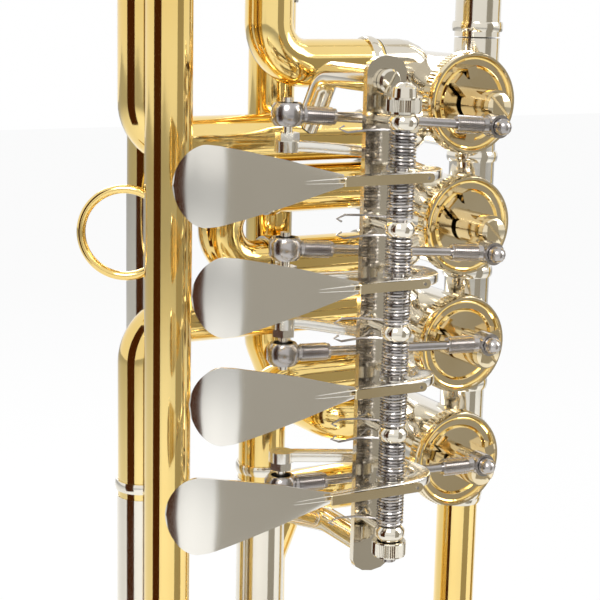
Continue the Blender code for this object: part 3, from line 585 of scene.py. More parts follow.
def turned(profile, centre, direction, steps=32, closed=False):
    """A turned solid from radius and height pairs running down its outer side."""
    mesh = bpy.data.meshes.new("turned")
    verts = [(radius * MM, 0.0, height * MM) for radius, height in profile]
    edges = [(index, index + 1) for index in range(len(verts) - 1)]
    if closed:
        edges.append((len(verts) - 1, 0))
    mesh.from_pydata(verts, edges, [])
    obj = new_object("turned", mesh)
    screw = obj.modifiers.new("turn", "SCREW")
    screw.steps = steps * 3
    screw.render_steps = steps * 3
    screw.use_merge_vertices = True
    screw.merge_threshold = WELD
    obj.matrix_world = Matrix.Translation(point(*centre)) @ facing(direction)
    return as_mesh(obj)


def plate_outline(outline, thickness, place):
    """A flat plate from its outline in millimetres, then moved to its place."""
    curve = flat_curve("outline", outline)
    curve.fill_mode = "BOTH"
    curve.extrude = thickness * MM / 2
    obj = new_object("outline", curve)
    obj.matrix_world = place
    return as_mesh(obj)


def valve_z(index):
    """The height of a valve's middle."""
    return VALVE_TOP_Z - index * VALVE_PITCH


def lever_z(index):
    """The height of a lever."""
    return LEVER_TOP_Z - index * LEVER_PITCH


def rotor_axis(index):
    """The middle of a rotor."""
    return VALVE_LINE[0] - ROTOR_OFFSET, VALVE_LINE[1], valve_z(index)


CAP_BACK_Y = VALVE_LINE[1] - DRUM_FRONT - GAP
CAP_FRONT_Y = CAP_BACK_Y - CAP_THICK
HUB_BACK_Y = CAP_FRONT_Y - CAP_BEAD - GAP
HUB_FRONT_Y = HUB_BACK_Y - HUB_LENGTH
LINK_Y = HUB_FRONT_Y - LINK_STANDOFF
ELBOW_X = VALVE_LINE[0] - ROTOR_OFFSET - ELBOW_END
PLATE_FRONT_Y = HINGE[1] + PLATE_STEP
HINGE_BORE = HINGE_ROD_R + GAP / 2
PLATE_BACK_Y = PLATE_FRONT_Y + PLATE_THICK
BACK_Y = VALVE_LINE[1] + BACK_PLANE_STEP
BELL_X = VALVE_LINE[0] + BELL_SPACING


def crank_angle(index):
    """The crank points down and left on the upper two valves, up and left on the others."""
    return -CRANK_REST if index < 2 else CRANK_REST


def crank_point(index):
    """The middle of the link's eye on the crank pin."""
    x, _, z = rotor_axis(index)
    angle = math.radians(crank_angle(index))
    return Vector((x + CRANK_R * math.cos(angle), LINK_Y, z + CRANK_R * math.sin(angle)))


def socket_point(index):
    """Where the lever's stud stands in the middle of the link's socket."""
    z = lever_z(index) + ARM_RISE[index] + SOCKET_SIDE[index] * SOCKET_STEP
    return Vector((HINGE[0] + BALL_POINT[0], HINGE[1] + BALL_POINT[1], z))


def spun_box(index, angle, left, right, front, back, half):
    """A bar across a rotor's axis, turned about it by an angle in degrees."""
    x, _, z = rotor_axis(index)
    turn = Matrix.Rotation(-math.radians(angle), 4, "Y")
    return box((x + left, front, z - half), (x + right, back, z + half), turn, (x, 0, z))


def make_casing(index):
    """A rotor casing with its main line stub and two elbows towards the valve's slide."""
    x, y, z = rotor_axis(index)
    half = VALVE_PITCH / 2 - GAP / 2
    front = y - DRUM_FRONT
    back = y + DRUM_BACK
    body = axle(x, z, front, back, DRUM_R, 20)
    line_x = VALVE_LINE[0]
    body = union(body, upright(line_x, y, z - half, z + half, SLEEVE_R, 14))
    bores = [axle(x, z, front - 1, back - BACK_WALL, ROTOR_R + ROTOR_PLAY, 20),
             upright(line_x, y, z - half - 1, z + half + 1, PORT_R, 12)]
    for side in (1, -1):
        corners = [(x - 3, y, z + side * 3), (x - ELBOW_DROP, y, z + side * ELBOW_DROP),
                   (x - ELBOW_END, y, z + side * ELBOW_DROP)]
        route = rounded(corners, ELBOW_BEND, 2)
        body = union(body, tube(route, SLEEVE_R))
        longer = route[:-1] + [Vector(corners[-1]) - Vector((1, 0, 0))]
        bores.append(tube(longer, PORT_R, res=2))
    finish(cut(body, *bores), f"valve_casing_{index + 1}")


def make_rotor(index):
    """The turning plug: two passages, and a spindle out through the front cap."""
    x, y, z = rotor_axis(index)
    front = y - DRUM_FRONT + GAP
    back = y + DRUM_BACK - BACK_WALL - GAP
    body = axle(x, z, front, back, ROTOR_R, 20)
    body = union(body, axle(x, z, front + 1, HUB_FRONT_Y + 5.0, SPINDLE_R, 12))
    for side in (1, -1):
        at = x + side * (ROTOR_R - PORT_R / 2)
        body = cut(body, upright(at, y, z - 14, z + 14, PORT_R - 0.5, 12))
    finish(body, f"rotor_{index + 1}")


def make_cap(index):
    """The knurled front cap with its raised rim and the two stops."""
    x, _, z = rotor_axis(index)
    hole = SPINDLE_R + GAP
    profile = [(CAP_R - 1.6, CAP_THICK), (CAP_R - 1.0, CAP_THICK + CAP_BEAD),
               (CAP_R - 0.3, CAP_THICK + CAP_BEAD), (CAP_R, CAP_THICK), (CAP_R, 0.4),
               (CAP_R - 0.5, 0.0), (hole, 0.0), (hole, CAP_THICK)]
    body = turned(profile, (x, CAP_BACK_Y, z), OUT, 20, closed=True)
    for angle in stop_angles(index):
        body = union(body, spun_box(index, angle, STOP_NEAR, STOP_FAR, CAP_FRONT_Y - STOP_HEIGHT,
                                    CAP_FRONT_Y + 1.0, STOP_HALF))
    finish(body, f"front_cap_{index + 1}")


def stop_angles(index):
    """Where the two stops stand round the cap, just clear of the lug at each end of its turn."""
    if index < 2:
        return LUG_REST - LUG_CLEAR, LUG_REST + QUARTER + LUG_CLEAR
    return LUG_REST + LUG_CLEAR, LUG_REST - QUARTER - LUG_CLEAR


def make_stop_arm(index):
    """The hub on the spindle: its crank pin, its stop lug and the slotted screw head."""
    x, _, z = rotor_axis(index)
    pin = crank_point(index)
    body = axle(x, z, HUB_FRONT_Y, HUB_BACK_Y, HUB_R, 16)
    arm = spun_box(index, crank_angle(index), 0, CRANK_R, HUB_FRONT_Y + 0.2, HUB_FRONT_Y + 3.2,
                   ARM_HALF)
    boss_end = LINK_Y + LINK_EYE_THICK / 2 + EYE_CLEAR
    boss = axle(pin.x, pin.z, boss_end, HUB_FRONT_Y + 3.5, BOSS_R, 12)
    pin_end = LINK_Y - LINK_EYE_THICK / 2 - CRANK_PIN_END
    stem = axle(pin.x, pin.z, HUB_FRONT_Y + 1, pin_end, CRANK_PIN_R, 8)
    lug = spun_box(index, LUG_REST, LUG_START, LUG_END, HUB_BACK_Y - LUG_THICK, HUB_BACK_Y - 0.1,
                   LUG_HALF)
    body = union(body, arm, boss, stem, lug)
    bore = axle(x, z, HUB_FRONT_Y + 4.5, HUB_BACK_Y + 1, SPINDLE_R + GAP, 12)
    slot = spun_box(index, SLOT_ANGLE, -3.4, 3.4, HUB_FRONT_Y - 1, HUB_FRONT_Y + 1.0, SLOT_HALF)
    finish(cut(body, bore, slot), f"stop_arm_{index + 1}")


def make_link(index):
    """The rod between crank and lever: eye, two threaded collars and a ball socket."""
    eye = crank_point(index)
    socket = socket_point(index)
    way = (socket - eye).normalized()
    body = rod(eye + way * 2.4, socket - way * 3.6, LINK_ROD_R, 8)
    near_eye = eye + way * (LINK_EYE_R - 0.6)
    near_socket = socket - way * (SOCKET_R - 0.8)
    ring = axle(eye.x, eye.z, LINK_Y - LINK_EYE_THICK / 2, LINK_Y + LINK_EYE_THICK / 2, LINK_EYE_R, 12)
    half = SOCKET_HEIGHT / 2
    barrel = [(SOCKET_BORE, half), (SOCKET_R - 1.0, half), (SOCKET_R, half - 1.4),
              (SOCKET_R, 1.4 - half), (SOCKET_R - 1.0, -half), (SOCKET_BORE, -half)]
    cup = turned([(0, half)] + barrel[1:-1] + [(0, -half)], socket, UP, 14)
    body = union(body, rod(near_eye, near_eye + way * LINK_COLLAR_LENGTH, LINK_COLLAR_R, 8),
                 rod(near_socket, near_socket - way * LINK_COLLAR_LENGTH, LINK_COLLAR_R, 8),
                 ring, cup)
    hole = axle(eye.x, eye.z, LINK_Y - 5, LINK_Y + 5, CRANK_PIN_R + 2 * GAP, 10)
    bore = upright(socket.x, socket.y, socket.z - 6, socket.z + 6, SOCKET_BORE, 10)
    finish(cut(body, hole, bore), f"link_{index + 1}")


def lever_route(index):
    """The lever's middle line: from the paddle past the hinge, round the plate to the stud."""
    x, y = HINGE
    z = lever_z(index)
    level = [(PADDLE_START + PADDLE_SHIFT[index] - TAPER_LENGTH, -3.9), *LEVER_ROUTE]
    rising = [*ARM_ROUTE, (*BALL_POINT, 1.0)]
    route = [(x + dx, y + dy, z) for dx, dy in level]
    route += [(x + dx, y + dy, z + ARM_RISE[index] * share) for dx, dy, share in rising]
    return route


def smoothed(route, parts):
    """More points along a flowing line through the given ones."""
    pts = [Vector(place) for place in route]
    pts = [pts[0] * 2 - pts[1]] + pts + [pts[-1] * 2 - pts[-2]]
    line = []
    for a, b, c, d in zip(pts, pts[1:], pts[2:], pts[3:]):
        for step in range(parts):
            t = step / parts
            line.append(((b * 2) + (c - a) * t + (a * 2 - b * 5 + c * 4 - d) * t ** 2
                         + (b * 3 - a - c * 3 + d) * t ** 3) / 2)
    line.append(pts[-2])
    return line


def ribbon(route, width, thickness):
    """A bar of rounded rectangular section along a route, kept level across its width."""
    route = smoothed(route, 6)
    corners = []
    for x, y, start in ((1, 1, 0), (-1, 1, 90), (-1, -1, 180), (1, -1, 270)):
        for turn in (0, 30, 60, 90):
            angle = math.radians(start + turn)
            across = x * (1 - WIDE_ROUND) + WIDE_ROUND * math.cos(angle)
            up = y * (1 - THIN_ROUND) + THIN_ROUND * math.sin(angle)
            corners.append((across * width / 2, up * thickness / 2))
    guide = new_object("section", flat_curve("section", corners))
    curve = poly_curve("ribbon", route)
    curve.twist_mode = "Z_UP"
    curve.bevel_mode = "OBJECT"
    curve.bevel_object = guide
    curve.use_fill_caps = True
    for index, place in enumerate(curve.splines[0].points):
        place.radius = min(1.0, TAPER_SHARE + (1 - TAPER_SHARE) * index / TAPER_POINTS)
    bar = as_mesh(new_object("ribbon", curve))
    bpy.data.objects.remove(guide, do_unlink=True)
    return bar


def paddle_half_width(x, length):
    """Half the finger plate's height at a place along it."""
    broad = PADDLE_WIDTH / 2
    if x <= 0:
        return broad * math.sqrt(max(0.0, 1 - (x / PADDLE_END) ** 2))
    share = x / length
    for (start, first), (end, last) in zip(PADDLE_PROFILE, PADDLE_PROFILE[1:]):
        if share <= end:
            return broad * (first + (last - first) * (share - start) / (end - start))
    return broad * PADDLE_PROFILE[-1][1]


def domed_paddle(start_x, y, z):
    """The finger plate as a softly crowned sheet whose rim rolls back."""
    length = PADDLE_LENGTH - PADDLE_END
    columns = [-PADDLE_END * math.cos(math.radians(90 * step / 14)) for step in range(14)]
    columns += [length * step / 26 for step in range(27)]
    rows = 24
    mesh = bpy.data.meshes.new("paddle")
    verts = []
    for x in columns:
        half = max(paddle_half_width(x, length), 0.02)
        for row in range(rows + 1):
            swing = math.sin(math.radians(-90 + 180 * row / rows))
            share = max(0.0, (ROLL_START - x) / (ROLL_START + PADDLE_END))
            out = ROLL_DEPTH * share ** ROLL_POWER - PADDLE_CROWN * (1 - swing * swing)
            verts.append(((start_x + x) * MM, (y + out) * MM, (z + swing * half) * MM))
    faces = []
    for column in range(len(columns) - 1):
        for row in range(rows):
            first = column * (rows + 1) + row
            faces.append((first, first + rows + 1, first + rows + 2, first + 1))
    mesh.from_pydata(verts, [], faces)
    obj = new_object("paddle", mesh)
    thicken(obj, PADDLE_SHEET, 0.0)
    return as_mesh(obj)


def merged(base, other):
    """Two meshes as one object, left as they are."""
    work = bmesh.new()
    work.from_mesh(base.data)
    work.from_mesh(other.data)
    work.to_mesh(base.data)
    work.free()
    bpy.data.objects.remove(other, do_unlink=True)
    return base


def make_lever(index):
    """One lever: finger plate, arm, hub on the hinge rod, hook behind the plate, stud."""
    x, y = HINGE
    z = lever_z(index)
    half = LEVER_THICK / 2
    body = ribbon(lever_route(index), LEVER_WIDTH, LEVER_THICK)
    hub = upright(x, y, z - half - 0.15, z + half + 0.15, LEVER_HUB_R, 16)
    stud = socket_point(index)
    side = SOCKET_SIDE[index]
    arm_z = z + ARM_RISE[index]
    pad = upright(stud.x, stud.y, arm_z - half - 0.1, arm_z + half + 0.1, PAD_R, 14)
    nut = upright(stud.x, stud.y, arm_z, arm_z + side * (half + NUT_HEIGHT), NUT_R, 6, 1)
    pin = upright(stud.x, stud.y, arm_z, stud.z + side * STUD_TIP, STUD_R, 8)
    start = HINGE[0] + PADDLE_START + PADDLE_SHIFT[index]
    paddle = domed_paddle(start - PADDLE_LENGTH + PADDLE_END + PADDLE_OVERLAP, y - PADDLE_STEP, z)
    body = union(body, hub, pad, nut, pin)
    body = cut(body, upright(x, y, z - 5, z + 5, HINGE_BORE, 16))
    body = merged(body, paddle)
    finish(body, f"lever_{index + 1}")


def spring_points(index):
    """Tail, upper coil, bail in front of the lever, lower coil and tail, as one wire."""
    x, y = HINGE
    z = lever_z(index)
    near = LEVER_THICK / 2 + SPRING_WIRE_R + GAP + 0.2
    far = LEVER_PITCH / 2 - POST_RING_HEIGHT / 2 - SPRING_WIRE_R - GAP
    tail_y = PLATE_FRONT_Y - SPRING_WIRE_R - GAP
    steps = SPRING_CURLS * CURL_POINTS
    upper = []
    for step in range(steps + 1):
        angle = math.radians(90) + 2 * math.pi * step / CURL_POINTS
        height = far + (near - far) * step / steps
        upper.append((x + SPRING_R * math.cos(angle), y + SPRING_R * math.sin(angle), z + height))
    lower = [(px, py, 2 * z - pz) for px, py, pz in reversed(upper)]
    end = x - SPRING_TAIL
    tail_top = [(end + 1.5, tail_y, z + far + 1.2), (end, tail_y, z + far + 0.4),
                (end + 2.5, tail_y, z + far - 0.6), (x - 6, tail_y, z + far - 0.2),
                (x - 2.2, y + SPRING_R + 2.4, z + far)]
    tail_low = [(px, py, 2 * z - pz) for px, py, pz in reversed(tail_top)]
    bail_y = y + LEVER_HUB_R + SPRING_WIRE_R + GAP
    bail = [(x - 1.5, bail_y, z + near), (x - 1.5, bail_y, z - near)]
    return tail_top + upper + bail + lower + tail_low


def make_spring(index):
    """One lever's spring, wound twice round the hinge rod."""
    finish(tube(spring_points(index), SPRING_WIRE_R, res=1), f"lever_spring_{index + 1}")


def post_z(index):
    """The height of a ring post on the plate."""
    return LEVER_TOP_Z + LEVER_PITCH / 2 - index * LEVER_PITCH


def make_plate():
    """The long plate behind the hinge with the five ring posts that carry the rod."""
    x, y = HINGE
    half = PLATE_WIDTH / 2
    outline = []
    for top, low, z in ((0, 180, PLATE_TOP_Z - PLATE_ROUND), (180, 360, PLATE_BOTTOM_Z + PLATE_ROUND)):
        for step in range(7):
            angle = math.radians(top + (low - top) * step / 6)
            outline.append((half * math.cos(angle), z + PLATE_ROUND * math.sin(angle)))
    middle = PLATE_FRONT_Y + PLATE_THICK / 2
    place = Matrix.Translation(point(x, middle, 0)) @ Matrix.Rotation(math.radians(90), 4, "X")
    body = plate_outline(outline, PLATE_THICK, place)
    for index in range(VALVE_COUNT + 1):
        z = post_z(index)
        high = POST_RING_HEIGHT / 2
        ring = turned([(0, high), (POST_RING_R - 0.9, high), (POST_RING_R, 0.8),
                       (POST_RING_R, -0.8), (POST_RING_R - 0.9, -high), (0, -high)],
                      (x, y, z), UP, 8)
        stem = axle(x, z, y + 3, middle, POST_STEM_R, 8)
        body = union(body, ring, stem)
    body = cut(body, upright(x, y, PLATE_BOTTOM_Z - 10, PLATE_TOP_Z + 10, HINGE_BORE, 16))
    screw_hole = axle(x, PLATE_SCREW_Z, y, PLATE_BACK_Y + 1, 1.8, 12)
    finish(cut(body, screw_hole), "lever_plate")


def make_plate_screw():
    """The slotted screw that holds the plate to its upper bracket."""
    x = HINGE[0]
    face = PLATE_FRONT_Y - GAP / 2
    body = turned([(0, 2.2), (PLATE_SCREW_R - 0.6, 2.2), (PLATE_SCREW_R, 1.5),
                   (PLATE_SCREW_R, 0), (0, 0)], (x, face, PLATE_SCREW_Z), OUT, 14)
    shank = axle(x, PLATE_SCREW_Z, face - 1, PLATE_BACK_Y + 4.0, 1.4, 12)
    body = union(body, shank)
    slot = box((x - 4, face - 3, PLATE_SCREW_Z - 0.4), (x + 4, face - 1.3, PLATE_SCREW_Z + 0.4),
               Matrix.Rotation(math.radians(-60), 4, "Y"), (x, 0, PLATE_SCREW_Z))
    finish(cut(body, slot), "plate_screw")


def make_hinge():
    """The hinge rod and the two knurled nuts at its ends."""
    x, y = HINGE
    top = post_z(0) + POST_RING_HEIGHT / 2
    low = post_z(VALVE_COUNT) - POST_RING_HEIGHT / 2
    finish(upright(x, y, low - HINGE_REACH, top + HINGE_REACH, HINGE_ROD_R, 16), "hinge_rod")
    knurl = [(HINGE_BORE, KNURL_HEIGHT), (KNURL_R, KNURL_HEIGHT), (KNURL_R, 0.0), (HINGE_BORE, 0.0)]
    dome = [(0, 8.4), (2.0, 8.1), (3.4, 6.8), (3.6, KNURL_HEIGHT), (KNURL_R, KNURL_HEIGHT),
            (KNURL_R, 0), (0, 0)]
    nut = turned(dome, (x, y, top + GAP), UP, 14)
    nut = cut(nut, upright(x, y, top - 1, top + HINGE_REACH + GAP, HINGE_BORE, 16))
    finish(nut, "hinge_nut_top")
    nut = turned(knurl, (x, y, low - GAP), DOWN, 14, closed=True)
    finish(nut, "hinge_nut_bottom")


def make_brackets():
    """The two curved posts that carry the plate on the tubing."""
    x = HINGE[0]
    back = PLATE_BACK_Y + GAP
    near = VALVE_LINE[1] - SLEEVE_R - GAP
    low_tube = valve_z(0) - ELBOW_DROP
    corners = [(x, back, PLATE_SCREW_Z), (x, near - 7.5, PLATE_SCREW_Z),
               (x, near + 3.2, low_tube + 3.8)]
    upper = tube(rounded(corners, SOFT_BEND, 4), BRACKET_R, res=3)
    saddle = rod((x - 14, VALVE_LINE[1], low_tube), (x + 14, VALVE_LINE[1], low_tube),
                 SLEEVE_R + GAP, 24)
    thread = axle(x, PLATE_SCREW_Z, PLATE_FRONT_Y, PLATE_BACK_Y + 5, 1.7, 12)
    finish(cut(upper, saddle, thread), "plate_bracket_upper")
    z = PLATE_BOTTOM_Z + 7.0
    leg = FRONT_LEG_NEAR
    corners = [(x, back, z), (x, near - 14, z), (leg + 1.5, near + 4, z)]
    lower = tube(rounded(corners, SOFT_BEND, 3), BRACKET_R, res=3)
    saddle = upright(leg, VALVE_LINE[1], z - 12, z + 12, SLEEVE_R + GAP, 24)
    finish(cut(lower, saddle), "plate_bracket_lower")


def to_back_leg(side, rise, end):
    """The line from an elbow of valve 4 to the back, and along the near back leg."""
    y = VALVE_LINE[1]
    start = ELBOW_X - GAP
    z = valve_z(3) + side * ELBOW_DROP
    corners = [(start, y, z), (start - 10, y, z), (start - 18, BACK_Y, z + side * rise),
               (BACK_LEG_NEAR, BACK_Y, z + side * (rise + 20)), (BACK_LEG_NEAR, BACK_Y, end)]
    return rounded(corners, SOFT_BEND, 2)


def make_valve_tubes():
    """The fixed tubes from the elbows to the slides of the four valves."""
    y = VALVE_LINE[1]
    start = ELBOW_X - GAP
    near = ("near", FRONT_LEG_NEAR)
    far = ("far", FRONT_LEG_FAR)
    for index, upper, lower, end in ((0, near, far, SLIDE_1_TOP), (2, far, near, SLIDE_3_BOTTOM)):
        for (label, leg), drop in ((upper, ELBOW_DROP), (lower, -ELBOW_DROP)):
            z = valve_z(index) + drop
            route = rounded([(start, y, z), (leg, y, z), (leg, y, end)], WIDE_BEND, 4)
            finish(tube(route, SLEEVE_R, WALL), f"valve_{index + 1}_tube_{label}")
    for label, drop in (("upper", ELBOW_DROP), ("lower", -ELBOW_DROP)):
        z = valve_z(1) + drop
        sleeve = tube([(start, y, z), (SLIDE_2_END, y, z)], SLEEVE_R, WALL)
        finish(sleeve, f"valve_2_tube_{label}")
    finish(tube(to_back_leg(1, 4, SLIDE_4_TOP), SLEEVE_R, WALL), "valve_4_tube_up")
    bow = [(BACK_LEG_NEAR, BACK_Y, SLIDE_4_LOW + 50), (BACK_LEG_NEAR, BACK_Y, SLIDE_4_LOW),
           (BACK_LEG_FAR, BACK_Y, SLIDE_4_LOW), (BACK_LEG_FAR, BACK_Y, SLIDE_4_TOP)]
    route = to_back_leg(-1, 6, SLIDE_4_LOW)[:-1]
    route += rounded(bow, (BACK_LEG_NEAR - BACK_LEG_FAR) / 2 - BOW_SLACK, 4)
    finish(tube(route, SLEEVE_R, WALL), "valve_4_tube_down")


def crook(name, first, second, out, run):
    """A U-shaped slide: thin legs inside the fixed tubes and a full-width bow."""
    first = Vector(first)
    second = Vector(second)
    out = Vector(out)
    bend = (second - first).length / 2 - BOW_SLACK
    bow = rounded([first + out * GAP, first + out * (run + bend), second + out * (run + bend),
                   second + out * GAP], bend, 4)
    route = [first - out * LEG_DEPTH, first + out * (GAP - 0.02)] + bow
    route += [second + out * (GAP - 0.02), second - out * LEG_DEPTH]
    thin = LEG_R / TUBE_R
    radii = [thin, thin] + [1.0] * len(bow) + [thin, thin]
    finish(tube(route, TUBE_R, radii=radii), name)


def make_slides():
    """The five slides that pull out for tuning."""
    y = VALVE_LINE[1]
    near, far = FRONT_LEG_NEAR, FRONT_LEG_FAR
    crook("tuning_slide_valve_1", (near, y, SLIDE_1_TOP), (far, y, SLIDE_1_TOP), UP,
          SLIDE_1_RUN)
    high = (SLIDE_2_END, y, valve_z(1) + ELBOW_DROP)
    low = (SLIDE_2_END, y, valve_z(1) - ELBOW_DROP)
    crook("tuning_slide_valve_2", high, low, (-1, 0, 0), SLIDE_2_RUN)
    crook("tuning_slide_valve_3", (near, y, SLIDE_3_BOTTOM), (far, y, SLIDE_3_BOTTOM), DOWN,
          SLIDE_3_RUN)
    crook("tuning_slide_valve_4", (BACK_LEG_NEAR, BACK_Y, SLIDE_4_TOP),
          (BACK_LEG_FAR, BACK_Y, SLIDE_4_TOP), UP, SLIDE_4_RUN)
    crook("main_tuning_slide", (VALVE_LINE[0], y, NECK_TOP), (BELL_X, y, NECK_TOP), UP,
          MAIN_RUN)


def make_main_line():
    """Leadpipe, front bow and the two tubes above and below the valves."""
    x, y = VALVE_LINE
    shell = tube([(0, 0, FRONT_BOW_Z + GAP), (0, 0, LEADPIPE_TOP)], TUBE_R, WALL)
    receiver = tube([(0, 0, LEADPIPE_TOP - RECEIVER_LENGTH), (0, 0, LEADPIPE_TOP)], RECEIVER_R,
                    RECEIVER_R - TUBE_R + 0.3)
    finish(union(shell, receiver), "leadpipe")
    first = Vector((0, 0, FRONT_BOW_Z))
    second = Vector((x, y, FRONT_BOW_Z))
    bend = (second - first).length / 2 - BOW_SLACK
    drop = Vector((0, 0, -bend - BOW_STRAIGHT))
    bow = rounded([first, first + drop, second + drop, second], bend, 6)
    nipple_at = water_point()
    body = tube(bow, TUBE_R)
    nipple = rod(nipple_at + Vector((0, 0, 4)), nipple_at, NIPPLE_R, 12)
    saddle = key_axis()
    posts = [box((saddle.x - 3.2, saddle.y + side * 5.2 - 0.8, saddle.z - 2),
                 (saddle.x + 3.2, saddle.y + side * 5.2 + 0.8, saddle.z + 13)) for side in (-1, 1)]
    finish(union(body, nipple, *posts), "front_bow")
    low = valve_z(VALVE_COUNT - 1) - VALVE_PITCH / 2
    finish(tube([(x, y, FRONT_BOW_Z + GAP), (x, y, low - GAP)], TUBE_R, WALL),
           "lower_main_tube")
    high = valve_z(0) + VALVE_PITCH / 2
    finish(tube([(x, y, high + GAP), (x, y, NECK_TOP)], SLEEVE_R, WALL), "upper_main_tube")


def water_point():
    """The nipple's mouth under the lowest point of the front bow."""
    x, y = VALVE_LINE
    half = Vector((x, y, 0)).length / 2
    return Vector((x / 2, y / 2, FRONT_BOW_Z - BOW_STRAIGHT - half - TUBE_R - NIPPLE_RISE))


def key_axis():
    """The middle of the water key's pivot, up the bow from the nipple."""
    return water_point() + Vector(KEY_REACH)


def make_water_key():
    """The sprung key that closes the drain hole of the front bow."""
    mouth = water_point()
    pivot = key_axis()
    pad = rod(mouth - Vector((0, 0, GAP)), mouth - Vector((0, 0, 3.0)), KEY_PAD_R, 16)
    bar = box((mouth.x, mouth.y - 0.9, mouth.z - 4.6), (pivot.x + 20, mouth.y + 4.6, mouth.z - 2.4))
    eye = rod(pivot - Vector((0, 4.0, 0)), pivot + Vector((0, 4.0, 0)), 2.0, 12)
    web = box((pivot.x - 2.4, pivot.y - 1.6, mouth.z - 4.4), (pivot.x + 2.4, pivot.y + 1.6, pivot.z))
    finish(union(bar, pad, eye, web), "water_key")


def make_thumb_ring():
    """The left thumb's ring behind the leadpipe, facing the camera side, on a short foot."""
    turn = math.radians(CAMERA_SIDE)
    left = Vector((-math.cos(turn), math.sin(turn), 0))
    back = Vector((math.sin(turn), math.cos(turn), 0))
    centre = left * RING_SIDE + back * RING_BACK + Vector((0, 0, RING_Z))
    points = []
    for step in range(72):
        angle = 2 * math.pi * step / 72
        points.append(centre + (left * math.cos(angle) + Vector(UP) * math.sin(angle)) * RING_R)
    curve = poly_curve("ring", points, cyclic=True)
    curve.bevel_depth = RING_WIRE_R * MM
    curve.bevel_resolution = 6
    ring = as_mesh(new_object("ring", curve))
    foot_at = centre - left * RING_R
    foot = rod(foot_at, Vector((0, 0, RING_Z)) + (foot_at - Vector((0, 0, RING_Z))) * 0.3, 2.2, 12)
    pipe = upright(0, 0, RING_Z - 9, RING_Z + 9, TUBE_R + GAP, 24)
    finish(cut(union(ring, foot), pipe), "thumb_ring")


def bell_radius(share):
    """Outer radius of the bell at a share of its length from the neck to the rim."""
    cone = SLEEVE_R + BELL_CONE * share
    flare = max(0.0, (share - FLARE_START) / (1 - FLARE_START)) ** FLARE_POWER
    return cone + (BELL_R - SLEEVE_R - BELL_CONE) * flare


def make_bell():
    """The bell: a thin flared shell with a wired rim."""
    length = NECK_TOP - BELL_RIM_Z
    shares = [0.0, 0.3, 0.5, 0.66, 0.77, 0.85, 0.91, 0.955, 0.985, 1.0]
    outer = [(bell_radius(share), NECK_TOP - length * share) for share in shares]
    inner = [(radius - WALL * 1.4, z) for radius, z in reversed(outer[:-1])]
    wire_r = BELL_R + RIM_WIRE_R * 0.4
    rim = [(wire_r, BELL_RIM_Z - 0.9), (wire_r, BELL_RIM_Z - 2.6),
           (BELL_R - 0.4, BELL_RIM_Z - 3.0), (BELL_R - 2.6, BELL_RIM_Z - 3.0),
           (BELL_R - 2.6, BELL_RIM_Z + 0.2)]
    body = turned(outer + rim + inner, (BELL_X, VALVE_LINE[1], 0), UP, 24, closed=True)
    finish(body, "bell")


def make_mouthpiece():
    """The mouthpiece: rim, cup, throat and tapered shank in the leadpipe's receiver."""
    top = MOUTHPIECE_LENGTH
    foot = LEADPIPE_TOP - SHANK_DEPTH
    outer = [(11.0, top), (MOUTHPIECE_R - 0.6, top - 0.4), (MOUTHPIECE_R, top - 3.0),
             (11.2, top - 8.0), (9.6, top - 18.0), (6.0, top - 30.0), (4.9, top - 36.0),
             (SHANK_R + 0.5, SHANK_DEPTH + 3.0), (SHANK_R, SHANK_DEPTH), (SHANK_R - 0.4, 0.0)]
    inner = [(3.6, 0.0), (2.9, top - 38.0), (3.0, top - 30.0), (7.6, top - 18.0), (9.6, top - 6.0),
             (10.0, top - 2.0)]
    body = turned(outer + inner, (0, 0, foot), UP, 18, closed=True)
    finish(body, "mouthpiece")


def brace(name, start, end, start_r, end_r):
    """A stay between two upright tubes with a small flange at each end."""
    start = Vector(start)
    end = Vector(end)
    way = (end - start).normalized()
    first = start + way * (start_r - FLANGE_INSET)
    last = end - way * (end_r - FLANGE_INSET)
    body = rod(first, last, BRACE_R, 12)
    body = union(body, rod(first, first + way * FLANGE_LENGTH, BRACE_R + FLANGE_RISE, 12),
                 rod(last, last - way * FLANGE_LENGTH, BRACE_R + FLANGE_RISE, 12))
    up = Vector((0, 0, 12))
    body = cut(body, rod(start - up, start + up, start_r + GAP, 16),
               rod(end - up, end + up, end_r + GAP, 16))
    finish(body, name)


def make_braces():
    """The four stays between the upright tubes."""
    x, y = VALVE_LINE
    brace("brace_upper", (0, 0, BRACE_HIGH_Z), (x, y, BRACE_HIGH_Z), TUBE_R, SLEEVE_R)
    brace("brace_lower", (0, 0, BRACE_LOW_Z), (x, y, BRACE_LOW_Z), TUBE_R, TUBE_R)
    length = NECK_TOP - BELL_RIM_Z
    for name, z, tube_r in (("bell_brace_upper", BRACE_HIGH_Z, SLEEVE_R),
                            ("bell_brace_lower", BELL_BRACE_LOW_Z, TUBE_R)):
        radius = bell_radius((NECK_TOP - z + BRACE_R + FLANGE_RISE) / length)
        brace(name, (x, y, z), (BELL_X, y, z), tube_r, radius + BELL_CLEAR)


def build():
    """Every piece that stands for a CAD node."""
    for index in range(VALVE_COUNT):
        make_casing(index)
        make_rotor(index)
        make_cap(index)
        make_stop_arm(index)
        make_link(index)
        make_lever(index)
        make_spring(index)
    make_plate()
    make_plate_screw()
    make_hinge()
    make_brackets()
    make_valve_tubes()
    make_slides()
    make_main_line()
    make_water_key()
    make_thumb_ring()
    make_bell()
    make_mouthpiece()
    make_braces()


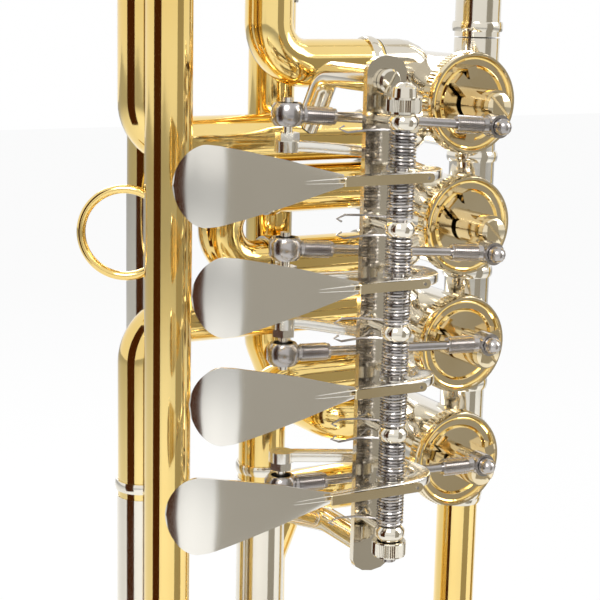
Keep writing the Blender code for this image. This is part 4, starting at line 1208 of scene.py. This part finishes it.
def ribbed(centre, direction, radius, inner, height, teeth, depth):
    """A ring with fine grooves cut along its outer side."""
    mesh = bpy.data.meshes.new("ribbed")
    verts = []
    count = teeth * 2
    for level in (-height / 2, height / 2):
        for ridge, valley in ((radius, radius - depth), (inner, inner)):
            for step in range(count):
                angle = 2 * math.pi * step / count
                size = valley if step % 2 else ridge
                verts.append((size * math.cos(angle) * MM, size * math.sin(angle) * MM, level * MM))
    faces = []
    for step in range(count):
        after = (step + 1) % count
        low_out, low_in, top_out, top_in = (ring * count + step for ring in range(4))
        low_out2, low_in2, top_out2, top_in2 = (ring * count + after for ring in range(4))
        faces += [(low_out, low_out2, top_out2, top_out), (low_in2, low_in, top_in, top_in2),
                  (top_out, top_out2, top_in2, top_in), (low_out2, low_out, low_in, low_in2)]
    mesh.from_pydata(verts, [], faces)
    obj = new_object("ribbed", mesh)
    obj.matrix_world = Matrix.Translation(point(*centre)) @ facing(direction)
    return obj


def bead(centre, direction, radius, width, rise):
    """A soldered ring round a tube, with a rounded outer side."""
    inner = radius + 0.02
    half = width / 2
    profile = [(inner, half), (inner + rise * 0.7, half), (inner + rise, half * 0.45),
               (inner + rise, -half * 0.45), (inner + rise * 0.7, -half), (inner, -half)]
    return turned(profile, centre, direction, 16, closed=True)


def trim(obj, name, body="instrument", slot="nickel_silver"):
    """Dress a piece that stands for no CAD node."""
    dress(obj, name, slot, body)


def cap_knurl(index):
    """The fine ribs round a front cap."""
    x, _, z = rotor_axis(index)
    middle = CAP_BACK_Y - CAP_THICK * 0.48
    trim(ribbed((x, middle, z), OUT, CAP_R + 0.32, CAP_R - 1.2, 3.1, 84, 0.3), f"cap_knurl_{index + 1}")


def finger_bar(index):
    """The flat bar from a finger plate to its hinge, in front of the springs, and its rivet."""
    x, y = HINGE
    z = lever_z(index)
    left = x + PADDLE_START + PADDLE_SHIFT[index] + BAR_OVERLAP
    back = y - BAR_STEP
    front = back - BAR_THICK
    bar = box((left, front, z - BAR_HALF), (x + BAR_REACH, back, z + BAR_HALF))
    tip = axle(x + BAR_REACH, z, front, back, BAR_HALF, 16)
    trim(union(bar, tip), f"finger_bar_{index + 1}", f"lever_{index + 1}")
    at = x + BAR_REACH - 0.6
    trim(axle(at, z, front - 0.2, back + 2.6, RIVET_R, 12), f"finger_rivet_{index + 1}",
         f"lever_{index + 1}", "dark_steel")


def axle_head(index):
    """The slotted screw head on a rotor's hub."""
    x, _, z = rotor_axis(index)
    head = turned([(0, 1.5), (3.6, 1.5), (4.2, 1.1), (4.2, -0.4), (0, -0.4)],
                  (x, HUB_FRONT_Y, z), OUT, 12)
    slot = spun_box(index, SLOT_ANGLE, -5, 5, HUB_FRONT_Y - 3, HUB_FRONT_Y - 0.7, SLOT_HALF)
    trim(cut(head, slot), f"axle_head_{index + 1}", f"rotor_{index + 1}")


def cap_rings(index):
    """The two raised rings on a cap's face, each named by its radius."""
    x, _, z = rotor_axis(index)
    for radius, lift in ((10.9, 0.5), (13.6, 0.2)):
        profile = [(radius - 0.45, 0.3), (radius, lift + 0.35), (radius + 0.45, 0.3),
                   (radius + 0.45, -0.3), (radius - 0.45, -0.3)]
        trim(turned(profile, (x, CAP_FRONT_Y, z), OUT, 24, closed=True),
             f"cap_ring_{index + 1}_{int(radius)}", slot="gold_lacquer_brass")


def pin_head(index):
    """The domed head on a crank pin."""
    pin = crank_point(index)
    head = turned([(0, 2.5), (1.3, 2.2), (2.3, 1.2), (2.5, 0.0), (2.5, -0.8), (0, -0.8)],
                  (pin.x, LINK_Y - LINK_EYE_THICK / 2 - 1.1, pin.z), OUT, 4)
    trim(head, f"pin_head_{index + 1}", f"rotor_{index + 1}", "dark_steel")


def link_threads(index):
    """The threads over the two collars of a link rod."""
    eye = crank_point(index)
    socket = socket_point(index)
    way = (socket - eye).normalized()
    length = LINK_COLLAR_LENGTH - 2.0
    crests = [(LINK_COLLAR_R + (THREAD_RISE if step % 2 else 0.02), length * (1 - step / (THREADS * 2)))
              for step in range(THREADS * 2 + 1)]
    profile = crests + [(LINK_COLLAR_R - 0.6, 0.0), (LINK_COLLAR_R - 0.6, length)]
    for end, base in (("a", eye + way * (LINK_EYE_R + 1.0)),
                      ("b", socket - way * (SOCKET_R + LINK_COLLAR_LENGTH - 1.6))):
        trim(turned(profile, base, way, 8, closed=True), f"link_thread_{index + 1}{end}",
             f"link_{index + 1}", "dark_steel")


def hinge_knurls():
    """The ribs round the two hinge nuts."""
    top = post_z(0) + POST_RING_HEIGHT / 2 + GAP + 2.2
    low = post_z(VALVE_COUNT) - POST_RING_HEIGHT / 2 - GAP - 2.2
    for label, z, height in (("top", top, 3.2), ("bottom", low, 3.6)):
        trim(ribbed((*HINGE, z), UP, KNURL_R + 0.25, KNURL_R - 1.2, height, 54, 0.22),
             f"hinge_knurl_{label}")


def tube_covers():
    """Thin nickel sleeves over the lower legs of two valve slides."""
    y = VALVE_LINE[1]
    for name, x, along, top, low in (("sleeve_3_near", FRONT_LEG_NEAR, y, COVER_3_TOP, SLIDE_3_BOTTOM),
                                     ("sleeve_3_far", FRONT_LEG_FAR, y, COVER_3_TOP, SLIDE_3_BOTTOM),
                                     ("sleeve_4_far", BACK_LEG_FAR, BACK_Y, 40.0, COVER_4_LOW)):
        trim(tube([(x, along, top), (x, along, low)], SLEEVE_R + 0.25, 0.2), name)


def tube_rings():
    """Soldered rings where the tubes meet their sleeves and slides."""
    x_line, y = VALVE_LINE
    rings = [("main_low", (x_line, y, -66.5), UP, TUBE_R + 0.3),
             ("main_top", (x_line, y, 88.0), UP, SLEEVE_R)]
    for label, z in (("slide_1", SLIDE_1_TOP - 2), ("slide_3", SLIDE_3_BOTTOM + 2),
                     ("valve_3", COVER_3_TOP + 3.5)):
        rings += [(label + "_near", (FRONT_LEG_NEAR, y, z), UP, SLEEVE_R),
                  (label + "_far", (FRONT_LEG_FAR, y, z), UP, SLEEVE_R)]
    rings += [("slide_4_near", (BACK_LEG_NEAR, BACK_Y, SLIDE_4_TOP - 2), UP, SLEEVE_R),
              ("slide_4_far", (BACK_LEG_FAR, BACK_Y, SLIDE_4_TOP - 2), UP, SLEEVE_R),
              ("valve_4_far", (BACK_LEG_FAR, BACK_Y, COVER_4_LOW - 2), UP, SLEEVE_R)]
    for label, x, index in (("slide_2", SLIDE_2_END + 2, 1), ("valve_1", ELBOW_X - 3, 0),
                            ("valve_3", ELBOW_X - 3, 2), ("valve_2", ELBOW_X - 3, 1)):
        for side, drop in (("upper", ELBOW_DROP), ("lower", -ELBOW_DROP)):
            rings.append((f"{label}_{side}", (x, y, valve_z(index) + drop), ACROSS, SLEEVE_R))
    rings += [("bow_far", (x_line, y, FRONT_BOW_Z + 4), UP, TUBE_R),
              ("bow_near", (0, 0, FRONT_BOW_Z + 4), UP, TUBE_R),
              ("neck", (x_line, y, NECK_TOP - 3), UP, SLEEVE_R)]
    for name, centre, direction, radius in rings:
        trim(bead(centre, direction, radius, 3.0, 0.8), "ring_" + name)


def add_trim():
    """The fine parts that the solids leave out."""
    x_line, y = VALVE_LINE
    for index in range(VALVE_COUNT):
        cap_knurl(index)
        line_ring = bead((x_line, y, valve_z(index) - VALVE_PITCH / 2), UP, SLEEVE_R, 3.2, 0.9)
        trim(line_ring, f"line_ring_{index + 1}")
        finger_bar(index)
        axle_head(index)
        cap_rings(index)
        pin_head(index)
        link_threads(index)
    hinge_knurls()
    tube_covers()
    tube_rings()


def away(azimuth, elevation):
    """The direction from the object at an azimuth and elevation in radians."""
    return Vector((math.sin(azimuth) * math.cos(elevation),
                   -math.cos(azimuth) * math.cos(elevation), math.sin(elevation)))


def maths(tree, operation):
    """A shader maths node."""
    made = tree.nodes.new("ShaderNodeMath")
    made.operation = operation
    return made


def mixed(tree, share, dim, bright, output):
    """Send a mix of two shaders to the output."""
    mix = tree.nodes.new("ShaderNodeMixShader")
    for socket, source in enumerate((share, dim, bright)):
        wire(tree, source, 0, mix, socket)
    wire(tree, mix, "Shader", output, "Surface")


def sheet(name, half_width, half_height, z=0.0):
    """A flat sheet with four corners, in metres."""
    mesh = bpy.data.meshes.new(name)
    signs = ((-1, -1), (1, -1), (1, 1), (-1, 1))
    mesh.from_pydata([(x * half_width, y * half_height, z) for x, y in signs], [], [(0, 1, 2, 3)])
    return new_object(name, mesh)


def card(name, azimuth, elevation, distance, width, height, colour, strength):
    """A studio card that only shiny pieces mirror, facing the valves."""
    back = away(math.radians(azimuth), math.radians(elevation))
    obj = sheet(name, width / 2, height / 2)
    turn = back.to_track_quat("Z", "Y").to_matrix().to_4x4()
    obj.matrix_world = Matrix.Translation(Vector(LIGHT_AIM) + back * distance) @ turn
    mat = material(name)
    tree = mat.node_tree
    tree.nodes.clear()
    glow = node(tree, "ShaderNodeEmission", Color=colour, Strength=strength)
    out = tree.nodes.new("ShaderNodeOutputMaterial")
    wire(tree, glow, "Emission", out, "Surface")
    obj.data.materials.append(mat)
    obj.visible_camera = False
    obj.visible_diffuse = False
    obj.visible_shadow = False


def surroundings():
    """A dim sky that the camera and shiny pieces see as white."""
    world = bpy.data.worlds.new("surroundings")
    world.use_nodes = True
    bpy.context.scene.world = world
    tree = world.node_tree
    tree.nodes.clear()
    path = tree.nodes.new("ShaderNodeLightPath")
    seen = maths(tree, "MAXIMUM")
    wire(tree, path, "Is Camera Ray", seen, 0)
    wire(tree, path, "Is Transmission Ray", seen, 1)
    both = maths(tree, "MAXIMUM")
    wire(tree, seen, 0, both, 0)
    wire(tree, path, "Is Glossy Ray", both, 1)
    dim = node(tree, "ShaderNodeBackground", Color=(0.9, 0.92, 0.95, 1.0), Strength=0.45)
    white = node(tree, "ShaderNodeBackground", Color=WHITE, Strength=1.0)
    mixed(tree, both, dim, white, tree.nodes.new("ShaderNodeOutputWorld"))


def make_floor():
    """A pale floor just under the object, which the camera sees nearly white."""
    floor = sheet("floor", FLOOR_HALF, FLOOR_HALF, CAD_BOUNDS[0][2] - FLOOR_DROP)
    mat = material("floor")
    tree = mat.node_tree
    shader = tree.nodes["Principled BSDF"]
    shader.inputs["Base Color"].default_value = (0.93, 0.93, 0.92, 1.0)
    shader.inputs["Roughness"].default_value = 0.8
    path = tree.nodes.new("ShaderNodeLightPath")
    glow = node(tree, "ShaderNodeEmission", Color=WHITE, Strength=1.0)
    share = maths(tree, "MULTIPLY")
    share.inputs[1].default_value = FLOOR_WHITE
    wire(tree, path, "Is Camera Ray", share, 0)
    mixed(tree, share, shader, glow, tree.nodes["Material Output"])
    floor.data.materials.append(mat)


def make_camera():
    """The camera at the photograph's angle."""
    azimuth, elevation, roll = (math.radians(angle) for angle in CAMERA_ANGLES)
    back = away(azimuth, elevation)
    right = Vector((math.cos(azimuth), math.sin(azimuth), 0.0))
    up = back.cross(right)
    right_rolled = right * math.cos(roll) + up * math.sin(roll)
    up_rolled = up * math.cos(roll) - right * math.sin(roll)
    data = bpy.data.cameras.new("camera")
    data.angle = math.radians(CAMERA_FIELD)
    data.clip_start = 0.01
    camera = bpy.data.objects.new("camera", data)
    bpy.context.scene.collection.objects.link(camera)
    matrix = Matrix((right_rolled, up_rolled, back)).transposed().to_4x4()
    matrix.translation = point(*CAMERA_PLACE)
    camera.matrix_world = matrix
    bpy.context.scene.camera = camera


def studio():
    """Surroundings, floor, cards, lamps and camera."""
    scene = bpy.context.scene
    scene.view_settings.view_transform = "Standard"
    surroundings()
    make_floor()
    for row in CARDS:
        card(*row)
    for name, place, power, size in LAMPS:
        light = bpy.data.lights.new(name, "AREA")
        light.energy = power
        light.size = size
        lamp = bpy.data.objects.new(name, light)
        scene.collection.objects.link(lamp)
        lamp.location = place
        lamp.rotation_euler = (Vector(place) - Vector(LIGHT_AIM)).to_track_quat("Z", "Y").to_euler()
    make_camera()


build()
add_trim()
studio()
bpy.context.view_layer.update()
